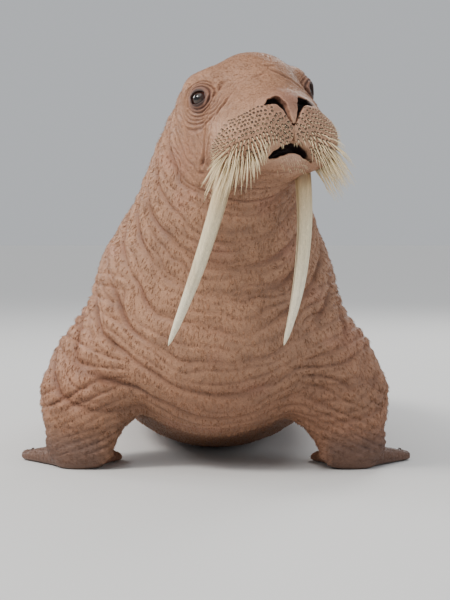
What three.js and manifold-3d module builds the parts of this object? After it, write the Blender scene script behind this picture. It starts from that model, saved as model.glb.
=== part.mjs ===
// A walrus, an adult bull at life size, resting upright on its fore flippers with its belly on the ground,
// the head raised and turned to its left. Millimetres, +Z up. It faces -Y, and its left side is +X.
// The origin is on the ground, in the middle of the whole outline.
//
// The flesh is one closed form: rounded limbs and section bodies that melt into each other. It is drawn as a
// surface, parted with thin cuts where the parts of the body meet, and each part is then thinned to few faces.
import * as THREE from "three";
import { mergeVertices } from "three/addons/utils/BufferGeometryUtils.js";
import Module from "manifold-3d";

// ---------------------------------------------------------------- driving dimensions
const BODY_LENGTH = 2260;          // chest to tail root, along the ground
const HEAD_AT = [95, -370, 1084];  // point midway between the eyes
const HEAD_TURN = 26;              // degrees, nose towards the animal's left
const HEAD_LIFT = 14;              // degrees, nose up
const HEAD_ROLL = 2;               // degrees, left eye up
const EYES = { right: [-163, 26, -23], left: [144, 38, -8] }; // eye centres in the head: to the left, forward, up
const EYE_RADIUS = 25;
const EYE_LOOKS = [0.82, 0.56, 0.1]; // out, forward, up
const LID_OPENING = 22;            // radius of the opening between the lids
const TUSK_RADIUS = 26;            // at the root
const TUSKS = {                    // root in the muzzle, bend, tip
  right: [[46, -528, 926], [-16, -470, 655], [-132.6, -335, 386]],
  left: [[230, -440, 928], [274, -430, 658], [192.2, -320, 386]],
};
const GAP = 0.3;                   // between neighbouring parts
const MIDDLE = [0, 918.8];         // middle of the outline seen from above
const NECK_FOOT = [-6, 90, 430];
const NECK_TOP = [60, -300, 1040];
const FORE_DIGITS = [[46, 270], [65, 284], [85, 270], [104, 243], [123, 206]]; // [degrees from straight out, length]
const HIND_DIGITS = [[18, 400], [37, 345], [56, 325], [75, 345], [94, 405]];

// trunk sections: [y, half width, top, height of the widest point, bottom]
const TRUNK = [
  [0, 335, 770, 400, 85], [250, 385, 800, 385, 22], [600, 420, 752, 345, -16], [1000, 428, 690, 315, -20],
  [1400, 395, 590, 275, -18], [1750, 300, 440, 205, -8], [2000, 190, 292, 140, 12], [2150, 112, 180, 95, 24],
  [BODY_LENGTH, 50, 108, 66, 30],
];
// neck sections: [share of its length, side shift, half width, nape, throat]
const NECK = [
  [0, 0, 330, 330, 335], [0.25, -4, 330, 300, 300], [0.42, -6, 302, 272, 272], [0.56, -4, 266, 245, 245],
  [0.74, -6, 230, 216, 220], [0.88, -10, 200, 192, 198], [1, -8, 168, 158, 168],
];

// ---------------------------------------------------------------- small vector helpers
const add = (a, b, s = 1) => [a[0] + b[0] * s, a[1] + b[1] * s, a[2] + b[2] * s];
const dot = (a, b) => a[0] * b[0] + a[1] * b[1] + a[2] * b[2];
const cross = (a, b) => [a[1] * b[2] - a[2] * b[1], a[2] * b[0] - a[0] * b[2], a[0] * b[1] - a[1] * b[0]];
const unit = (a) => { const l = Math.hypot(...a); return [a[0] / l, a[1] / l, a[2] / l]; };
const rad = (d) => (d * Math.PI) / 180;

// head frame: x to the animal's left, f forward of the eyes, z up
const headMatrix = new THREE.Matrix4()
  .makeRotationZ(rad(HEAD_TURN))
  .multiply(new THREE.Matrix4().makeRotationX(-rad(HEAD_LIFT)))
  .multiply(new THREE.Matrix4().makeRotationY(-rad(HEAD_ROLL)));
const headDir = (x, f, z) => new THREE.Vector3(x, -f, z).applyMatrix4(headMatrix).toArray();
const headPoint = (x, f, z) => add(HEAD_AT, headDir(x, f, z));

// ---------------------------------------------------------------- forms
// a limb: round from a to b; side and thick radii at both ends, the thickness along n, and how far each end rounds out
function limb(name, a, b, ra, rb, n, k) {
  const L = Math.hypot(...add(b, a, -1));
  const u = unit(add(b, a, -1));
  const t = unit(add(n, u, -dot(n, u)));
  const R = Math.max(...ra, ...rb);
  return { name, kind: "limb", a, u, L, n: t, s: cross(u, t), ra, rb, ea: ra[2] ?? ra[0], eb: rb[2] ?? rb[0], k,
    lo: a.map((v, i) => Math.min(v, b[i]) - R), hi: a.map((v, i) => Math.max(v, b[i]) + R) };
}
// smooth table through uneven stations
const TABLE = 160;
function spline(ts, vs) {
  const m = ts.map((_, i) => {
    const a = Math.max(i - 1, 0), b = Math.min(i + 1, ts.length - 1);
    return (vs[b] - vs[a]) / (ts[b] - ts[a]);
  });
  const out = new Float64Array(TABLE);
  for (let j = 0, k = 0; j < TABLE; j++) {
    const x = ts[0] + ((ts[ts.length - 1] - ts[0]) * j) / (TABLE - 1);
    while (k < ts.length - 2 && x >= ts[k + 1]) k++;
    const h = ts[k + 1] - ts[k], w = (x - ts[k]) / h;
    out[j] = vs[k] * (1 + 2 * w) * (1 - w) ** 2 + m[k] * h * w * (1 - w) ** 2 + vs[k + 1] * w * w * (3 - 2 * w) + m[k + 1] * h * w * w * (w - 1);
  }
  return out;
}
// a body of sections along the straight line a-b; v points to its high side
function sections(name, a, b, v, rows, caps, k, lift) {
  const L = Math.hypot(...add(b, a, -1));
  const u = unit(add(b, a, -1));
  const w = unit(add(v, u, -dot(v, u)));
  let s = cross(u, w);
  if (s[0] < 0) s = s.map((c) => -c);
  const ts = rows.map((r) => r[0]);
  const tab = [1, 2, 3, 4].map((i) => spline(ts, rows.map((r) => r[i])));
  const R = Math.max(...tab[1], ...tab[2], ...tab[3]) + Math.max(...caps) + 20;
  const high = lift ? Math.max(...lift) : 0;
  return { name, kind: "sections", a, u, L, v: w, s, tab, caps, k, lift,
    lo: a.map((c, i) => Math.min(c, b[i]) - R), hi: a.map((c, i) => Math.max(c, b[i]) + R + (i === 2 ? high : 0)) };
}
function distance(q, x, y, z) {
  let X, Y, Z, rs, rt, re;
  if (q.kind === "sections") {
    if (q.lift) {
      const g = (Math.min(Math.max(y, 0), q.L) / q.L) * (TABLE - 1), i = Math.min(Math.floor(g), TABLE - 2);
      z -= q.lift[i] + (q.lift[i + 1] - q.lift[i]) * (g - i);
    }
    const p = [x - q.a[0], y - q.a[1], z - q.a[2]];
    const along = dot(p, q.u), kept = Math.min(Math.max(along, 0), q.L);
    const g = (kept / q.L) * (TABLE - 1), i = Math.min(Math.floor(g), TABLE - 2), f = g - i;
    const at = (T) => T[i] + (T[i + 1] - T[i]) * f;
    rs = at(q.tab[1]);
    X = (dot(p, q.s) - at(q.tab[0])) / rs;
    Z = dot(p, q.v);
    rt = Z > 0 ? at(q.tab[2]) : at(q.tab[3]);
    Z /= rt;
    re = along < 0 ? q.caps[0] : q.caps[1];
    Y = (along - kept) / re;
  } else {
    const p = [x - q.a[0], y - q.a[1], z - q.a[2]];
    const along = dot(p, q.u), kept = Math.min(Math.max(along, 0), q.L), t = kept / q.L;
    rs = q.ra[0] + (q.rb[0] - q.ra[0]) * t;
    rt = q.ra[1] + (q.rb[1] - q.ra[1]) * t;
    re = t < 0.5 ? q.ea : q.eb;
    X = dot(p, q.s) / rs; Z = dot(p, q.n) / rt; Y = (along - kept) / re;
  }
  const k0 = Math.sqrt(X * X + Y * Y + Z * Z);
  const k1 = Math.sqrt((X / rs) ** 2 + (Y / re) ** 2 + (Z / rt) ** 2) + 1e-9;
  return (k0 * (k0 - 1)) / k1;
}
function melt(a, b, k) {
  if (k <= 0) return Math.min(a, b);
  const h = Math.max(k - Math.abs(a - b), 0) / k;
  return Math.min(a, b) - h * h * k * 0.25;
}
const REACH = 130;
function field(forms, x, y, z) {
  let d = distance(forms[0], x, y, z);
  for (let i = 1; i < forms.length; i++) {
    const q = forms[i];
    if (x < q.lo[0] - REACH || x > q.hi[0] + REACH || y < q.lo[1] - REACH || y > q.hi[1] + REACH || z < q.lo[2] - REACH || z > q.hi[2] + REACH) continue;
    d = melt(d, distance(q, x, y, z), q.k);
  }
  return d;
}

// ---------------------------------------------------------------- the animal's forms
const UP = [0, 0, 1];
const trunkRows = TRUNK.map(([y, w, top, mid, bottom]) => [y / BODY_LENGTH, 0, w, top - mid, mid - bottom]);
const trunk = sections("trunk", [0, 0, 0], [0, BODY_LENGTH, 0], UP, trunkRows, [290, 40], 0,
  spline(TRUNK.map((r) => r[0] / BODY_LENGTH), TRUNK.map((r) => r[3])));
const neck = sections("neck", NECK_FOOT, NECK_TOP, [0, 1, 0.6], NECK, [200, 90], 110);

const bodyForms = [trunk, neck];
for (const s of [-1, 1])
  bodyForms.push(limb("shoulder", [s * 232 - 8, 20, 540], [s * 342 - 12, 0, 285], [92, 150, 140], [108, 150, 150], [0, 1, 0], 110));

const headForms = [];
function headLimb(name, a, b, ra, rb, k, n = [0, 0, 1]) {
  headForms.push(limb(name, headPoint(...a), headPoint(...b), ra, rb, headDir(...n), k));
}
headLimb("cranium", [0, -70, -8], [0, 0, -2], [128, 112, 125], [130, 112, 138], 80);
headLimb("bridge", [0, 20, -8], [0, 145, -88], [114, 86, 90], [92, 56, 62], 60);
headLimb("muzzle", [-7, 80, -144], [-7, 96, -154], [146, 98, 110], [140, 92, 105], 60);
headLimb("nose", [0, 155, -106], [0, 166, -112], [60, 42, 44], [60, 44, 44], 36);
for (const s of [-1, 1]) {
  if (s < 0) headLimb("orbit", [-146, -8, -4], [-150, 4, -12], [48, 46, 46], [42, 42, 42], 50);
  else headLimb("orbit", [144, -2, 9], [149, 18, 4], [46, 44, 44], [41, 42, 42], 46);
  if (s < 0) headLimb("brow", [-130, -30, 27], [-118, 22, 27], [46, 42, 40], [44, 38, 38], 46);
  else headLimb("brow", [126, -14, 32], [122, 34, 24], [45, 39, 38], [41, 37, 35], 46);
  headLimb("cheek", [s * 100, -60, -92], [s * 102, 40, -120], [66, 110, 85], [64, 92, 85], 70);
  headLimb("pad", [s * 54, 122, -140], [s < 0 ? -108 : 92, 110, -172], [76, 88, 74], [82, 94, 80], 34, [0, 1, 0.15]);
}
headLimb("jaw", [0, -70, -180], [5, 112, -228], [118, 84, 86], [58, 44, 50], 34);
headLimb("lip", [-20, 126, -226], [32, 126, -228], [31, 22, 24], [31, 22, 24], 26);
headLimb("throat", [0, -60, -190], [0, -170, -280], [120, 95], [150, 125], 110);

// the web between two digits: a flat blade down their middle, ending short of their tips
function webs(out, wrist, digits, s, share, drop, thickRoot, thickTip) {
  for (let i = 0; i < digits.length - 1; i++) {
    const [a, la] = digits[i], [b, lb] = digits[i + 1], mid = rad((a + b) / 2), half = rad((b - a) / 2);
    const length = ((la + lb) / 2) * share, d = [s * Math.cos(mid), Math.sin(mid), 0], wide = length * Math.sin(half) + 8;
    const tip = add(wrist, d, length - wide * 0.6); tip[2] = thickTip - 3;
    out.push(limb("web" + i, add(add(wrist, d, 50), UP, drop), tip, [34, thickRoot, 34], [wide, thickTip, wide * 0.6], UP, 14));
  }
}
const foreForms = { left: [], right: [] };
const hindForms = { left: [], right: [] };
for (const [side, s] of [["right", -1], ["left", 1]]) {
  const fore = foreForms[side], hind = hindForms[side], n = [s * 0.3, -0.95, 0];
  fore.push(limb("elbow", [s * 356 - 6, 10, 320], [s * 382 - 5, -25, 215], [124, 108, 110], [128, 100, 110], n, 100));
  fore.push(limb("forearm", [s * 384 - 4, -28, 215], [s * 406, -45, 66], [138, 96, 100], [114, 66, 70], n, 60));
  const wrist = [s * 408, -45, 30];
  FORE_DIGITS.forEach(([angle, length], i) => {
    const d = [s * Math.cos(rad(angle)), Math.sin(rad(angle)), 0];
    const tip = add(wrist, d, length - 26); tip[2] = 15;
    fore.push(limb("digit" + i, add(add(wrist, d, 20), UP, 2), tip, [50, 42, 44], [27, 20, 28], UP, 30));
  });
  webs(fore, wrist, FORE_DIGITS, s, 0.93, -12, 17, 13);

  hind.push(limb("ankle", [s * 130, 1800, 170], [s * 205, 2060, 80], [115, 115, 120], [76, 66, 80], UP, 100));
  const heel = [s * 212, 2075, 32];
  HIND_DIGITS.forEach(([angle, length], i) => {
    const d = [s * Math.cos(rad(angle)), Math.sin(rad(angle)), 0];
    const tip = add(heel, d, length - 30); tip[2] = 9;
    hind.push(limb("toe" + i, add(heel, d, 20), tip, [46, 36, 44], [31, 12, 30], UP, 30));
  });
  webs(hind, heel, HIND_DIGITS, s, 0.90, -19, 14, 8);
}
const allForms = [...bodyForms, ...headForms, ...foreForms.right, ...foreForms.left, ...hindForms.right, ...hindForms.left];

// ---------------------------------------------------------------- surface of a field on an uneven grid
function grid(spans) { // spans: [from, step] ... [end]
  const out = [];
  for (let i = 0; i < spans.length - 1; i++) {
    const [a, step] = spans[i], b = spans[i + 1][0], n = Math.max(1, Math.round((b - a) / step));
    for (let j = 0; j < n; j++) out.push(a + ((b - a) * j) / n);
  }
  out.push(spans[spans.length - 1][0]);
  return out;
}
// each cell is split into six tetrahedra round its diagonal, so the surface is always closed
const CORNERS = [[0, 0, 0], [1, 0, 0], [1, 1, 0], [0, 1, 0], [0, 0, 1], [1, 0, 1], [1, 1, 1], [0, 1, 1]];
const TETS = [[0, 1, 2, 6], [0, 2, 3, 6], [0, 3, 7, 6], [0, 7, 4, 6], [0, 4, 5, 6], [0, 5, 1, 6]];
function surface(f, xs, ys, zs) {
  const nx = xs.length, ny = ys.length, nz = zs.length;
  const val = new Float64Array(nx * ny * nz);
  const id = (i, j, k) => (k * ny + j) * nx + i;
  for (let k = 0; k < nz; k++) for (let j = 0; j < ny; j++) for (let i = 0; i < nx; i++) {
    const edge = i === 0 || j === 0 || k === 0 || i === nx - 1 || j === ny - 1 || k === nz - 1;
    let v = f(xs[i], ys[j], zs[k]);
    if (edge) v = Math.max(v, 1);
    val[id(i, j, k)] = Math.abs(v) < 1e-4 ? 1e-4 : v;
  }
  const points = [], faces = [], seen = new Map();
  const place = (n) => [xs[n % nx], ys[Math.floor(n / nx) % ny], zs[Math.floor(n / (nx * ny))]];
  function cut(a, b) {
    if (a > b) [a, b] = [b, a];
    const key = a * 8388608 + (b - a);
    let at = seen.get(key);
    if (at === undefined) {
      const t = Math.min(Math.max(val[a] / (val[a] - val[b]), 0.02), 0.98), p = place(a), q = place(b);
      at = points.length / 3;
      points.push(p[0] + (q[0] - p[0]) * t, p[1] + (q[1] - p[1]) * t, p[2] + (q[2] - p[2]) * t);
      seen.set(key, at);
    }
    return at;
  }
  function face(a, b, c, inside) { // turned so that it looks away from the inner corner
    const P = (n) => points.slice(n * 3, n * 3 + 3);
    const A = P(a), n = cross(add(P(b), A, -1), add(P(c), A, -1));
    if (dot(n, add(A, place(inside), -1)) > 0) faces.push(a, b, c); else faces.push(a, c, b);
  }
  for (let k = 0; k < nz - 1; k++) for (let j = 0; j < ny - 1; j++) for (let i = 0; i < nx - 1; i++) {
    const c = CORNERS.map(([a, b, d]) => id(i + a, j + b, k + d));
    let low = 0;
    for (const n of c) if (val[n] < 0) low++;
    if (low === 0 || low === 8) continue;
    for (const tet of TETS) {
      const v = tet.map((n) => c[n]);
      const inn = v.filter((n) => val[n] < 0), out = v.filter((n) => val[n] >= 0);
      if (inn.length === 1) face(cut(inn[0], out[0]), cut(inn[0], out[1]), cut(inn[0], out[2]), inn[0]);
      else if (inn.length === 3) {
        const a = cut(inn[0], out[0]), b = cut(inn[1], out[0]), d = cut(inn[2], out[0]);
        face(a, b, d, inn[0]);
      } else if (inn.length === 2) {
        const a = cut(inn[0], out[0]), b = cut(inn[0], out[1]), d = cut(inn[1], out[1]), e = cut(inn[1], out[0]);
        face(a, b, d, inn[0]); face(a, d, e, inn[0]);
      }
    }
  }
  return { points: Float32Array.from(points), faces: Uint32Array.from(faces) };
}

// ---------------------------------------------------------------- solids
const wasm = await Module();
wasm.setup();
const solid = (m) => new wasm.Manifold(new wasm.Mesh({ numProp: 3, vertProperties: m.points, triVerts: m.faces }));
function meshOf(s) {
  const m = s.getMesh(), n = m.numProp, points = new Float32Array(m.numVert * 3);
  for (let i = 0; i < m.numVert; i++) points.set(m.vertProperties.subarray(i * n, i * n + 3), i * 3);
  return { points, faces: Uint32Array.from(m.triVerts) };
}
function solidOf(geometry) {
  const g = geometry.clone();
  for (const name of Object.keys(g.attributes)) if (name !== "position") g.deleteAttribute(name);
  const w = mergeVertices(g, 1e-3);
  return solid({ points: Float32Array.from(w.attributes.position.array), faces: Uint32Array.from(w.index.array) });
}
// the half space behind a plane: everything on the side that n points away from, up to `reach`
function behind(point, n, reach = 6000) {
  const g = new THREE.BoxGeometry(reach, reach, reach).translate(0, 0, -reach / 2);
  const q = new THREE.Quaternion().setFromUnitVectors(new THREE.Vector3(0, 0, 1), new THREE.Vector3(...unit(n)));
  g.applyQuaternion(q).translate(...point);
  return solidOf(g);
}
const keepBehind = (s, point, n) => s.intersect(behind(add(point, unit(n), -GAP / 2), n));
const keepAhead = (s, point, n) => s.intersect(behind(add(point, unit(n), GAP / 2), n.map((c) => -c)));
const largest = (s) => s.decompose().sort((a, b) => b.volume() - a.volume())[0];

// ---------------------------------------------------------------- thinning a mesh to few faces
// Each vertex keeps the sum of its planes; the edge that moves the surface least goes first. Vertices on a sharp rim
// or a flat stay where they are, so cut faces and ground flats keep their planes.
function thin(s, target) {
  const { points, faces } = meshOf(s);
  const n = points.length / 3, P = Float64Array.from(points);
  const F = []; for (let i = 0; i < faces.length; i += 3) F.push([faces[i], faces[i + 1], faces[i + 2]]);
  const alive = new Uint8Array(F.length).fill(1), of = Array.from({ length: n }, () => new Set());
  const Q = new Float64Array(n * 10);
  const normal = (a, b, c) => {
    const ux = P[b * 3] - P[a * 3], uy = P[b * 3 + 1] - P[a * 3 + 1], uz = P[b * 3 + 2] - P[a * 3 + 2];
    const vx = P[c * 3] - P[a * 3], vy = P[c * 3 + 1] - P[a * 3 + 1], vz = P[c * 3 + 2] - P[a * 3 + 2];
    return [uy * vz - uz * vy, uz * vx - ux * vz, ux * vy - uy * vx];
  };
  const addPlane = (v, nx, ny, nz, d, w) => {
    const o = v * 10;
    Q[o] += w * nx * nx; Q[o + 1] += w * nx * ny; Q[o + 2] += w * nx * nz; Q[o + 3] += w * nx * d;
    Q[o + 4] += w * ny * ny; Q[o + 5] += w * ny * nz; Q[o + 6] += w * ny * d;
    Q[o + 7] += w * nz * nz; Q[o + 8] += w * nz * d; Q[o + 9] += w * d * d;
  };
  const N = F.map(([a, b, c]) => normal(a, b, c));
  F.forEach(([a, b, c], i) => {
    const m = N[i], l = Math.hypot(...m) || 1e-12, x = m[0] / l, y = m[1] / l, z = m[2] / l;
    const d = -(x * P[a * 3] + y * P[a * 3 + 1] + z * P[a * 3 + 2]);
    for (const v of [a, b, c]) { of[v].add(i); addPlane(v, x, y, z, d, l / 2 + 1e-3); }
  });
  const fixed = new Uint8Array(n), edges = new Map();
  F.forEach((t, i) => { for (let e = 0; e < 3; e++) {
    const a = Math.min(t[e], t[(e + 1) % 3]), b = Math.max(t[e], t[(e + 1) % 3]), key = a * 4194304 + b;
    const o = edges.get(key);
    if (o === undefined) edges.set(key, i);
    else {
      const la = Math.hypot(...N[i]) || 1e-12, lb = Math.hypot(...N[o]) || 1e-12;
      if (la > 1e-3 && lb > 1e-3 && dot(N[i], N[o]) / la / lb < 0.75) { // a rim: hold it with planes across both faces
        fixed[a] = fixed[b] = 1;
        const ex = P[b * 3] - P[a * 3], ey = P[b * 3 + 1] - P[a * 3 + 1], ez = P[b * 3 + 2] - P[a * 3 + 2];
        const w = (ex * ex + ey * ey + ez * ez) * 2;
        for (const m of [N[i], N[o]]) {
          const k = unit(cross([ex, ey, ez], m));
          if (!k.every(Number.isFinite)) continue;
          const d = -(k[0] * P[a * 3] + k[1] * P[a * 3 + 1] + k[2] * P[a * 3 + 2]);
          addPlane(a, ...k, d, w); addPlane(b, ...k, d, w);
        }
      }
    }
  } });
  const cost = (q, x, y, z) =>
    q[0] * x * x + 2 * q[1] * x * y + 2 * q[2] * x * z + 2 * q[3] * x + q[4] * y * y + 2 * q[5] * y * z + 2 * q[6] * y + q[7] * z * z + 2 * q[8] * z + q[9];
  function best(a, b) {
    const q = new Float64Array(10);
    for (let i = 0; i < 10; i++) q[i] = Q[a * 10 + i] + Q[b * 10 + i];
    const pa = [P[a * 3], P[a * 3 + 1], P[a * 3 + 2]], pb = [P[b * 3], P[b * 3 + 1], P[b * 3 + 2]];
    let choices;
    if (fixed[a] && fixed[b]) choices = [pa, pb];
    else if (fixed[a]) choices = [pa];
    else if (fixed[b]) choices = [pb];
    else {
      choices = [pa, pb, [(pa[0] + pb[0]) / 2, (pa[1] + pb[1]) / 2, (pa[2] + pb[2]) / 2]];
      const c0 = q[4] * q[7] - q[5] * q[5], c1 = q[2] * q[5] - q[1] * q[7], c2 = q[1] * q[5] - q[2] * q[4];
      const det = q[0] * c0 + q[1] * c1 + q[2] * c2, size = q[0] + q[4] + q[7];
      if (det > 1e-4 * size ** 3 / 27) {
        const x = -(c0 * q[3] + c1 * q[6] + c2 * q[8]) / det;
        const y = -(c1 * q[3] + (q[0] * q[7] - q[2] * q[2]) * q[6] + (q[1] * q[2] - q[0] * q[5]) * q[8]) / det;
        const z = -(c2 * q[3] + (q[1] * q[2] - q[0] * q[5]) * q[6] + (q[0] * q[4] - q[1] * q[1]) * q[8]) / det;
        const len = Math.hypot(pa[0] - pb[0], pa[1] - pb[1], pa[2] - pb[2]);
        if (Math.hypot(x - (pa[0] + pb[0]) / 2, y - (pa[1] + pb[1]) / 2, z - (pa[2] + pb[2]) / 2) < 1.5 * len) choices.push([x, y, z]);
      }
    }
    let p = choices[0], c = Infinity;
    for (const t of choices) { const e = cost(q, ...t); if (e < c) { c = e; p = t; } }
    const l2 = (pa[0] - pb[0]) ** 2 + (pa[1] - pb[1]) ** 2 + (pa[2] - pb[2]) ** 2;
    return { c: Math.max(c, 0) + 1e-5 * l2, p };
  }
  // binary heap of edges; stale entries are dropped when they surface
  const heap = [], stamp = new Uint32Array(n);
  const less = (x, y) => x.c < y.c || (x.c === y.c && (x.a < y.a || (x.a === y.a && x.b < y.b)));
  function push(e) {
    heap.push(e); let i = heap.length - 1;
    while (i > 0) { const p = (i - 1) >> 1; if (!less(heap[i], heap[p])) break; [heap[i], heap[p]] = [heap[p], heap[i]]; i = p; }
  }
  function pop() {
    const top = heap[0], last = heap.pop();
    if (heap.length) { heap[0] = last; let i = 0;
      for (;;) { let m = i; const l = 2 * i + 1, r = l + 1;
        if (l < heap.length && less(heap[l], heap[m])) m = l;
        if (r < heap.length && less(heap[r], heap[m])) m = r;
        if (m === i) break; [heap[i], heap[m]] = [heap[m], heap[i]]; i = m; } }
    return top;
  }
  const around = (v) => { const r = new Set(); for (const i of of[v]) for (const w of F[i]) if (w !== v) r.add(w); return r; };
  const queue = (a, b) => { if (a > b) [a, b] = [b, a]; const { c, p } = best(a, b); push({ a, b, c, p, sa: stamp[a], sb: stamp[b] }); };
  for (const key of edges.keys()) queue(Math.floor(key / 4194304), key % 4194304);
  let left = F.length;
  while (left > target && heap.length) {
    const e = pop();
    if (stamp[e.a] !== e.sa || stamp[e.b] !== e.sb || !of[e.a].size || !of[e.b].size) continue;
    const { a, b, p } = e, na = around(a), nb = around(b);
    let common = 0; for (const v of na) if (nb.has(v)) common++;
    if (common !== 2 || na.size + nb.size < 8) continue;
    let bad = false;
    for (const [v, o] of [[a, b], [b, a]]) { for (const i of of[v]) {
      const t = F[i]; if (t.includes(o)) continue;
      const before = normal(...t);
      const keep = [P[v * 3], P[v * 3 + 1], P[v * 3 + 2]];
      P[v * 3] = p[0]; P[v * 3 + 1] = p[1]; P[v * 3 + 2] = p[2];
      const after = normal(...t);
      P[v * 3] = keep[0]; P[v * 3 + 1] = keep[1]; P[v * 3 + 2] = keep[2];
      const la = Math.hypot(...after), lb = Math.hypot(...before);
      if (la < 1e-2 || dot(before, after) < 0.25 * la * lb) { bad = true; break; }
    } if (bad) break; }
    if (bad) continue;
    for (const i of [...of[b]]) {
      const t = F[i];
      if (t.includes(a)) { alive[i] = 0; left--; for (const v of t) of[v].delete(i); }
      else { t[t.indexOf(b)] = a; of[a].add(i); of[b].delete(i); }
    }
    P[a * 3] = p[0]; P[a * 3 + 1] = p[1]; P[a * 3 + 2] = p[2];
    for (let i = 0; i < 10; i++) Q[a * 10 + i] += Q[b * 10 + i];
    if (fixed[b]) fixed[a] = 1;
    stamp[a]++; stamp[b]++;
    for (const v of around(a)) queue(a, v);
  }
  const at = new Int32Array(n).fill(-1), pts = [], tri = [];
  F.forEach((t, i) => { if (alive[i]) for (const v of t) { if (at[v] < 0) { at[v] = pts.length / 3; pts.push(P[v * 3], P[v * 3 + 1], P[v * 3 + 2]); } tri.push(at[v]); } });
  return solid({ points: Float32Array.from(pts), faces: Uint32Array.from(tri) });
}

// ---------------------------------------------------------------- flesh, on finer steps at the head, hands and feet
const xs = grid([[-640, 16], [-270, 24], [-110, 13], [370, 15], [640]]);
const ys = grid([[-680, 13], [-190, 16], [270, 30], [2020, 16], [2540]]);
const zs = grid([[-45, 9], [90, 26], [820, 13], [1240]]);
const flesh = solid(surface((x, y, z) => field(allForms, x, y, z), xs, ys, zs));
const standing = largest(keepAhead(flesh, [0, 0, -GAP / 2], UP)); // the ground flats are at zero

// the room in front of none of the planes, each [point, normal]; `grow` moves every plane outwards
const wedge = (planes, grow) => planes.map(([p, n]) => behind(add(p, unit(n), grow), n, 2600)).reduce((x, y) => x.intersect(y));
// a fore limb parts from the shoulder, the chest wall and the flank; a hind limb from the rump
let rest = standing;
const parts = {};
for (const [side, s] of [["right", -1], ["left", 1]]) {
  const fore = [[[s * 500, 0, 300], [-s * 0.39, 0, 0.92]], [[s * 262, 0, 200], [-s, 0, 0]], [[0, 95, 190], [0, 0.6, 0.8]]];
  const hind = [[[0, 1985, 0], [0, -1, 0]], [[s * 185, 2010, 0], [-s * 0.964, -0.266, 0]]];
  for (const [name, planes] of [["fore_", fore], ["hind_", hind]]) {
    parts[name + side] = largest(standing.intersect(wedge(planes, -GAP / 2)));
    rest = rest.subtract(wedge(planes, GAP / 2));
  }
}
rest = largest(rest);

// body cuts
const neckAxis = unit(add(NECK_TOP, NECK_FOOT, -1));
const neckFootCut = add(NECK_FOOT, neckAxis, 290);
const headBack = headPoint(0, -128, -70);
const headBackDir = unit(add(neckAxis, headDir(0, 1, 0.15), 0.9));
const withHead = keepAhead(rest, headBack, headBackDir);
const belowHead = keepBehind(rest, headBack, headBackDir);
const neckPart = largest(keepAhead(belowHead, neckFootCut, neckAxis));
const trunkAll = largest(keepBehind(belowHead, neckFootCut, neckAxis));
const CHEST_END = 430, BARREL_END = 1480, TAIL_START = 2120;
const BACK = [0, 1, 0];
const chest = largest(keepBehind(trunkAll, [0, CHEST_END, 0], BACK));
const barrel = largest(keepBehind(keepAhead(trunkAll, [0, CHEST_END, 0], BACK), [0, BARREL_END, 0], BACK));
const rump = largest(keepBehind(keepAhead(trunkAll, [0, BARREL_END, 0], BACK), [0, TAIL_START, 0], BACK));
const tail = largest(keepAhead(trunkAll, [0, TAIL_START, 0], BACK));

// head cuts: the muzzle comes off below the bridge and in front of the cheeks, the jaw under the mouth
const FWD = headDir(0, 1, 0);
const MOUTH = headPoint(0, 60, -212), MOUTH_UP = headDir(0, 0.06, 1);
const muzzleRoot = headPoint(0, 40, -230), muzzleDir = headDir(0, 0.866, -0.5);
let skull = largest(withHead);
const faceFront = keepAhead(skull, muzzleRoot, muzzleDir);
const side = headDir(1, 0, 0);
const JAW_HALF = 54;
const jawPlanes = (grow) => [[MOUTH, MOUTH_UP], [headPoint(JAW_HALF, 0, 0), side], [headPoint(-JAW_HALF, 0, 0), side.map((c) => -c)]]
  .map(([p, n]) => behind(add(p, unit(n), grow), n, 2400)).reduce((x, y) => x.intersect(y));
const jawPart = largest(faceFront.intersect(jawPlanes(-GAP / 2)));
const upper = largest(faceFront.subtract(jawPlanes(GAP / 2)));
skull = largest(keepBehind(skull, muzzleRoot, muzzleDir));
const noseFloor = headPoint(0, 120, -128), noseUp = headDir(0, 0.35, 1);
const noseStart = headPoint(0, 132, 0);
const inNose = (s) => keepAhead(keepAhead(keepBehind(keepAhead(s, headPoint(-66, 0, 0), side), headPoint(66, 0, 0), side), noseFloor, noseUp), noseStart, FWD);
const nosePart = largest(inNose(upper));
const noseBlock = (() => { // the nose's room, with the gap round it
  let b = behind(add(headPoint(-66, 0, 0), side, -GAP / 2), side.map((c) => -c), 2400);
  b = b.intersect(behind(add(headPoint(66, 0, 0), side, GAP / 2), side, 2400));
  b = b.intersect(behind(add(noseFloor, unit(noseUp), -GAP / 2), noseUp.map((c) => -c), 2400));
  return b.intersect(behind(add(noseStart, FWD, -GAP / 2), FWD.map((c) => -c), 2400));
})();
const pads = upper.subtract(noseBlock);
const padRight = largest(keepBehind(pads, headPoint(0, 0, 0), side));
const padLeft = largest(keepAhead(pads, headPoint(0, 0, 0), side));

// ---------------------------------------------------------------- tusks and eyes
const tuskPoint = (row, t) => [0, 1, 2].map((i) => (1 - t) ** 2 * row[0][i] + 2 * t * (1 - t) * row[1][i] + t * t * row[2][i]);
const tuskRadius = (t) => TUSK_RADIUS * (1 - 0.28 * t) * Math.sqrt(Math.max(1 - t ** 4, 0));
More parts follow.
